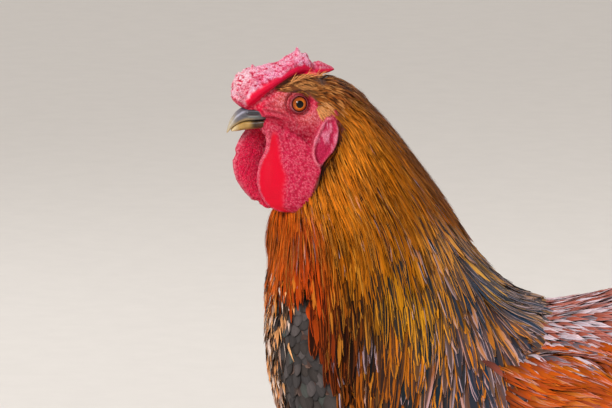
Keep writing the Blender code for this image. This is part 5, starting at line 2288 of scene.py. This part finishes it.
def grow_base(under):
    """A soft close layer over all the body, which the other tracts lie on."""

    def anywhere(p):
        inside, down = wing_share(p)
        under_bow = inside & (down < 0.5) & (p[:, 1] < 150)
        return (p[:, 2] > LEG_TOP) & (p[:, 1] < 322) & ~under_bow

    def smaller(most, less):
        """A measure that shrinks down the leg."""
        return lambda p: most - less * ramp(p[:, 2], 200, 125)

    roots, length = visible_roots(under, 60000, smaller(5.4, 2.2), anywhere, smaller(24, 9))
    half = jittered(smaller(5.2, 2.2)(roots), 0.15)
    colour = tinted(body_colour(roots), 0.25, 0.04)
    tip = mix(colour * 1.25, tinted(alike(srgb(140, 118, 100), len(roots)), 0.2), 0.2)
    look = feather_look("belly_feather", srgb(20, 20, 22), 0.7, 34, 26, 0.25, sheen=0.08)
    on_thigh = roots[:, 2] < 165
    for name, chosen in (("thigh_feathers", on_thigh), ("body_feathers", ~on_thigh)):
        placed, size, width, hue, rim = (a[chosen] for a in (roots, length, half, colour, tip))
        piece = grown(
            name, under, placed, size, width, "contour", 7, hue, rim, marks_of(len(placed), 0.35, 0.5), look,
            wander=0.16, depth=5.5, rise=-2.6, spread=0.9, flick=1.2, camber=0.2, tip_from=0.6,
        )


def grow_breast(under):
    """Grey rounded scales over breast and flanks."""

    def on_breast(p):
        inside, _ = wing_share(p)
        shag = (np.abs(p[:, 0]) < 30) & (p[:, 1] < 24) & (p[:, 2] > 275)
        return ~inside & ~shag & (p[:, 1] < 165) & (p[:, 2] < 380) & (p[:, 2] > 165)

    gap_at, length_at = by(Z, [170, 300], [4.8, 3.9]), by(Z, [170, 300, 370], [22, 17, 12])
    roots, length = visible_roots(under, 42000, gap_at, on_breast, length_at, ahead=12)
    count = len(roots)
    half = jittered(np.interp(length, [12, 23], [4.2, 6.0]), 0.15)
    colour = tinted(mix(alike(SLATE, count), DARK_SLATE, ramp(roots[:, 2], 300, 190)), 0.25, 0.05)
    chance = random.random(count)
    # A few feathers greenish: painted sheen.
    colour = mix(colour, srgb(74, 84, 80), (chance < 0.08) * 0.5)
    colour = mix(colour, srgb(98, 90, 90), (chance > 0.88) * 0.5)
    look = feather_look("breast_feather", srgb(40, 38, 40), 0.7, 70, 46, 0.42, gloss=0.08)
    # Lighter middles, with rims and tips darkened to about half: painted shade where the scales overlap.
    piece = grown(
        "breast_feathers", under, roots, length, half, "contour", 9, colour * 1.25, colour * 0.5,
        marks_of(count, 0.25, 0.1), look, wander=0.16, depth=5.5, rise=-1.8, spread=0.9, flick=1.2,
        camber=0.24, tip_from=0.72, columns=5, rim_tone=0.55, base_shade=0.6,
    )


def grow_shag(under):
    """Narrow loose feathers of buff, white and black down the middle of the breast."""

    def on_front(p):
        width = np.interp(p[:, 2], [222, 262, 300, 384], [6, 32, 42, 46]) + 5 * noise(p, 14, 91)
        stray = random.random(len(p)) < ramp(width - np.abs(p[:, 0]), -3, 9)
        return stray & (p[:, 1] < 30) & (p[:, 2] > 220) & (p[:, 2] < 384)

    roots = roots_on(under, 90000, lambda p: np.interp(np.abs(p[:, 0]), [20, 44], [1.7, 3.0]), on_front)
    count = len(roots)
    kind = random.random(count)
    colour = tinted(alike(srgb(226, 160, 104), count), 0.3, 0.08)
    colour = mix(colour, srgb(226, 206, 194), (kind < 0.2) * 0.85)
    colour = mix(colour, srgb(24, 22, 24), (kind > 0.72) * 0.94)
    colour = mix(colour, srgb(150, 120, 112), ((kind > 0.6) & (kind < 0.72)) * 0.8)
    piece = grown(
        "breast_shag", under, roots, random.uniform(10, 22, count), random.uniform(0.6, 1.5, count),
        "hackle", 7, colour, colour * 1.3, marks_of(count, 0.3, 0.2),
        feather_look("shag", srgb(30, 28, 32), 0.6, 40, 10, 0.25), wander=0.28,
        depth=5.0, rise=-1.0, spread=1.6, flick=1.8, roll=0.4, base_shade=0.6,
    )


def grow_back(under):
    """Silky lavender and rust feathers over the back."""

    def on_back(p):
        inside, down = wing_share(p)
        return (p[:, 1] > 110) & (p[:, 1] < 262) & (p[:, 2] > 318) & ~(inside & (down > 0.14))

    roots, length = visible_roots(under, 90000, 2.3, on_back, by(Y, [150, 250], [22, 28]))
    count = len(roots)
    half = jittered(np.full(count, 1.8), 0.35)
    kind = random.random(count)
    colour = tinted(alike(PALE_BACK, count), 0.2, 0.04)
    rusty = kind < 0.42 + 0.4 * ramp(roots[:, 1], 185, 235)
    rise = 0.8 - 2.6 * ramp(roots[:, 1], 165, 135)
    colour = mix(colour, tinted(alike(BACK_RUST, count), 0.25), rusty * 0.9)
    colour = mix(colour, srgb(44, 52, 66), (kind > 0.9) * 0.85)
    tip = mix(colour, PALE_BACK, 0.5 - 0.25 * rusty) * 1.15
    piece = grown(
        "back_feathers", under, roots, length, half, "hackle", 8, colour, tip, marks_of(count, 0.3, 0.22),
        feather_look("back_feather", BACK_RUST, 0.55, 60, 40, 0.3, sheen=0.05), wander=0.16,
        depth=3.2, rise=rise[:, None], spread=1.4, flick=1.4, roll=0.3, camber=0.2, base_shade=0.65,
    )


def grow_saddle(under):
    """The striped saddle hackles behind the back."""

    def on_saddle(p):
        return (p[:, 1] > 205) & (p[:, 1] < 305) & (p[:, 2] > by(Y, [205, 300], [322, 318])(p))

    roots = roots_on(under, 60000, 2.5, on_saddle)
    count = len(roots)
    length = jittered(np.interp(np.abs(roots[:, 0]), [0, 60], [48, 72]), 0.18)
    half = jittered(np.full(count, 2.1), 0.2)
    colour = tinted(mix(alike(GOLD, count), OCHRE, random.random(count)), 0.22, 0.1)
    colour = mix(colour, BACK_RUST, ramp(roots[:, 1], 232, 206) * 0.6)
    striped = (random.random(count) < 0.75) * 0.95
    # Blue-black stripes: the blue is painted sheen of the black's iridescence.
    dark = mix(srgb(14, 24, 28), srgb(34, 52, 76), random.random(count))
    piece = grown(
        "saddle_hackles", under, roots, length, half, "hackle", 11, colour, colour * 1.2,
        marks_of(count, striped, 0.34), bpy.data.materials["hackle"], wander=0.1, depth=4.0,
        rise=0.2, spread=1.8, flick=1.6, roll=0.25, own=0.5, base_shade=0.6, rim_tone=0.8, stripes=dark,
    )


def grow_wing_bow(under, side, word, look):
    """Loose orange-red feathers over the wing's shoulder."""

    def on_bow(p):
        inside, down = wing_share(p)
        return inside & (p[:, 0] * side > 0) & (down < 0.62) & (p[:, 1] < 230 - 50 * down)

    gap_at, length_at = by(Y, [60, 200], [1.9, 2.5]), by(Y, [60, 180], [18, 30])
    roots, length = visible_roots(under, 90000, gap_at, on_bow, length_at)
    _, down = wing_share(roots)
    count = len(roots)
    kind = random.random(count)
    colour = tinted(alike(WING_ORANGE, count), 0.25, 0.14)
    colour = mix(colour, BACK_RUST, (kind < 0.3) * 0.7)
    colour = mix(colour, GOLD, (kind > 0.8) * 0.6)
    pale = ramp(down, 0.4, 0.05) * (random.random(count) < 0.4)
    tip = mix(colour * 1.2, PALE_BACK, pale * 0.6)
    half = jittered(np.interp(length, [15, 30], [1.1, 1.7]), 0.3)
    marks = marks_of(count, (random.random(count) < 0.3), 0.12)
    piece = grown(
        "wing_bow_" + word, under, roots, length, half, "hackle", 8, colour, tip, marks, look,
        wander=0.14, depth=3.0, rise=1.2, spread=1.4, flick=1.2, roll=0.3, camber=0.25, base_shade=0.7,
    )


def grow_wing_bar(under, side, word, look):
    """The steel bar of broad coverts below the bow."""

    def on_bar(p):
        inside, down = wing_share(p)
        along = (p[:, 1] > 75) & (p[:, 1] < 190)
        return inside & (p[:, 0] * side > 0) & (np.abs(down - 0.64) < 0.1) & along

    roots, length = visible_roots(under, 30000, 4.8, on_bar, 30)
    count = len(roots)
    colour = tinted(alike(BAR_STEEL, count), 0.3, 0.05)
    half = jittered(np.full(count, 6.4), 0.1)
    piece = grown(
        "wing_bar_" + word, under, roots, length, half, "contour", 9, colour, colour * 1.6,
        marks_of(count, 0.4, 0.6), look, wander=0.06, depth=2.5, rise=1.6, spread=0.7,
        flick=0.4, roll=0.08, camber=0.2, columns=5,
    )


def grow_wing_coverts(under):
    """The bow and the bar of each wing."""
    bow_look = feather_look("wing_bow", srgb(20, 14, 16), 0.45, 52, 30, 0.34)
    bar_look = feather_look("wing_bar", srgb(12, 16, 22), 0.36, 60, 44, 0.25, gloss=0.55)
    for side, word in SIDES:
        grow_wing_bow(under, side, word, bow_look)
        grow_wing_bar(under, side, word, bar_look)


def down_rows(colours, rows):
    """Each feather's colour at all its rows."""
    return np.repeat(colours[:, None], rows, axis=1)


# Primaries, then secondaries: how many; x, y, z, length and lift of the lowest, and of the
# highest; half width, colour and colour of the rim
QUILLS = [
    (7, (90, 130, 240, 172, -1.2), (90, 138, 249, 160, 0.3), 5.5, srgb(26, 24, 26), srgb(96, 60, 32)),
    (11, (92, 122, 250, 150, 0.8), (92, 146, 288, 120, 3.6), 7.5, srgb(34, 26, 24), srgb(150, 70, 20)),
]
QUILL_ROWS = 22
QUILL_SHAFT = srgb(70, 44, 26)


def grow_flight(under):
    """Folded secondaries over primaries, each a long firm vane along the wing."""
    look = feather_look("flight_feather", srgb(24, 20, 20), 0.5, 150, 60, 0.3, gloss=0.15, shaft=QUILL_SHAFT)
    numbers, lowest, highest, halves, colours, rims = zip(*QUILLS)
    places = np.vstack([np.linspace(*ends) for ends in zip(lowest, highest, numbers)])
    halves, colours, rims = (np.repeat(np.array(a), numbers, axis=0) for a in (halves, colours, rims))
    share = np.linspace(0, 1, QUILL_ROWS)
    width = halves[:, None] * outline(share, "flight")[None]
    lift = places[:, 4:] + 1.2 - 4 * ramp(share, 0.2, 0)[None]
    centre = down_rows(colours, QUILL_ROWS)
    rim = mix(centre, down_rows(rims, QUILL_ROWS), 0.9)
    for side, word in SIDES:
        turn = random.normal(0, 0.02, len(places))
        starts = places[:, :3] * [side, 1, 1]
        line, ups = laid(under, starts, places[:, 3], QUILL_ROWS, turn, 0.5, QUILL_FLOW)
        marks = marks_of(len(places), 0.8, 0.45)
        name = "flight_feathers_" + word
        piece = vane_mesh(name, line, ups, width, lift, centre, rim, marks, look, columns=9, camber=0.12)


# Feathers of the left side that stand free along arcs, the first and the last of each fan:
# start, middle pull, end and way up (x, y, z each), and half width
MAIN_TAIL = (
    (22, 262, 300, 37.95, 330, 330, 11.55, 411, 396, 1, -0.25, 0.25, 14.5),
    (10, 262, 338, 3.45, 316, 392, 1.05, 403, 446, 1, 0, 0.25, 14.5),
)
LESSER_SICKLES = (
    (6, 266, 352, 10, 318, 468, 13, 404, 388, 1, 0, 0.15, 8.5),
    (20, 264, 330, 36, 310, 376, 39, 352, 296, 1, 0, 0.15, 6.5),
)
SICKLE = [  # x, y, z, width
    (6, 272, 358, 10),
    (7, 286, 392, 20),
    (9, 308, 428, 25),
    (12, 338, 455, 27),
    (15, 370, 465, 27),
    (18, 402, 456, 25),
    (20, 427, 430, 21),
    (22, 440, 398, 15),
    (23, 444, 372, 8),
    (23, 444, 359, 1),
]
TAIL_ROOT_COVERTS = 26  # on each side


def on_side(row, side):
    """A row of an arc's table for one side."""
    return row * ([side, 1, 1] * 4 + [1])


def arced(name, table, look, rows, kind, tint, rim_tone, **more):
    """Black feathers along arcs, from rows like those of the tables above."""
    table = np.array(table, float)
    start, middle, end, up = (table[:, None, k : k + 3] for k in (0, 3, 6, 9))
    share = np.linspace(0, 1, rows)
    t = share[None, :, None]
    line = start * (1 - t) ** 2 + 2 * middle * t * (1 - t) + end * t**2
    width = table[:, 12:] * outline(share, kind)[None]
    colour = down_rows(tinted(alike(TAIL_BLACK, len(table)), tint), rows)
    ups, lift = np.repeat(unit(up), rows, 1), np.zeros(width.shape)
    marks = marks_of(len(table), 0.5, 0.6)
    return vane_mesh(name, line, ups, width, lift, colour, colour * rim_tone, marks, look, **more)


def tail_coverts():
    """Lesser sickles, longest first, and short curved coverts over the tail's root."""
    table = []
    for side, _ in SIDES:
        table += [on_side(row, side) for row in np.linspace(*LESSER_SICKLES, 9)]
        for _ in range(TAIL_ROOT_COVERTS):
            share = random.random()
            reach = random.uniform(0.5, 1)
            start = np.array([4 + 26 * share, 256 + 10 * random.random(), 362 - 26 * share])
            middle = start + [8, 28 * reach, 44 * reach * (1 - 0.5 * share)]
            end = start + [10, 70 * reach, 12 * reach - 40 * share * reach]
            table.append(on_side(np.array([*start, *middle, *end, 1, 0, 0.45, 5.5]), side))
    return table


def grow_sickle(side, word, look):
    """One of the two long curved feathers that hang over the tail."""
    path = curve(SICKLE, 7)
    rows = len(path)
    line = (path[:, :3] * [side, 1, 1])[None]
    up = np.tile([side * 1.0, 0, 0], (1, rows, 1))
    colour = np.tile(TAIL_BLACK, (1, rows, 1))
    half, lift, marks = path[None, :, 3] / 2, np.zeros((1, rows)), marks_of(1, 0.6, 0.6)
    name = "sickle_feather_" + word
    piece = vane_mesh(name, line, up, half, lift, colour, colour * 1.6, marks, look, columns=13)
    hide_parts("sickle_" + word)


def grow_tail():
    """Seven pairs of main tail feathers, the sickles, and curved coverts over their roots."""
    # The stripe in TAIL_GREEN: painted sheen.
    look = feather_look("tail_feather", TAIL_GREEN, 0.34, 150, 80, 0.4, gloss=0.25, shaft=TAIL_SHAFT)
    table = [on_side(row, side) for row in np.linspace(*MAIN_TAIL, 7) for side, _ in SIDES]
    piece = arced(
        "tail_feathers", table, look, rows=26, kind="flight", tint=0.2, rim_tone=1.5, columns=9, camber=0.16
    )
    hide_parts("tail")
    for side, word in SIDES:
        grow_sickle(side, word, look)
    piece = arced(
        "tail_coverts", tail_coverts(), look, rows=18, kind="hackle", tint=0.3, rim_tone=1.7, columns=5
    )


# ---------------------------------------------------------------- everything

skin = make_skin()
for side, word in SIDES:
    make_eye(side, word)
make_beak()
make_claws()

outer = solid_ground(["head", "neck", *BODY], CAPE_FLOW)
under = solid_ground(BODY, WING_FLOW)
grow_hackles(outer)
grow_wisps(outer)
grow_crown(Ground(skin))
grow_ear_tufts()
grow_base(under)
grow_breast(under)
grow_shag(under)
grow_back(under)
grow_saddle(under)
grow_wing_coverts(under)
grow_flight(under)
grow_tail()

make_floor()
make_lights()
make_camera()
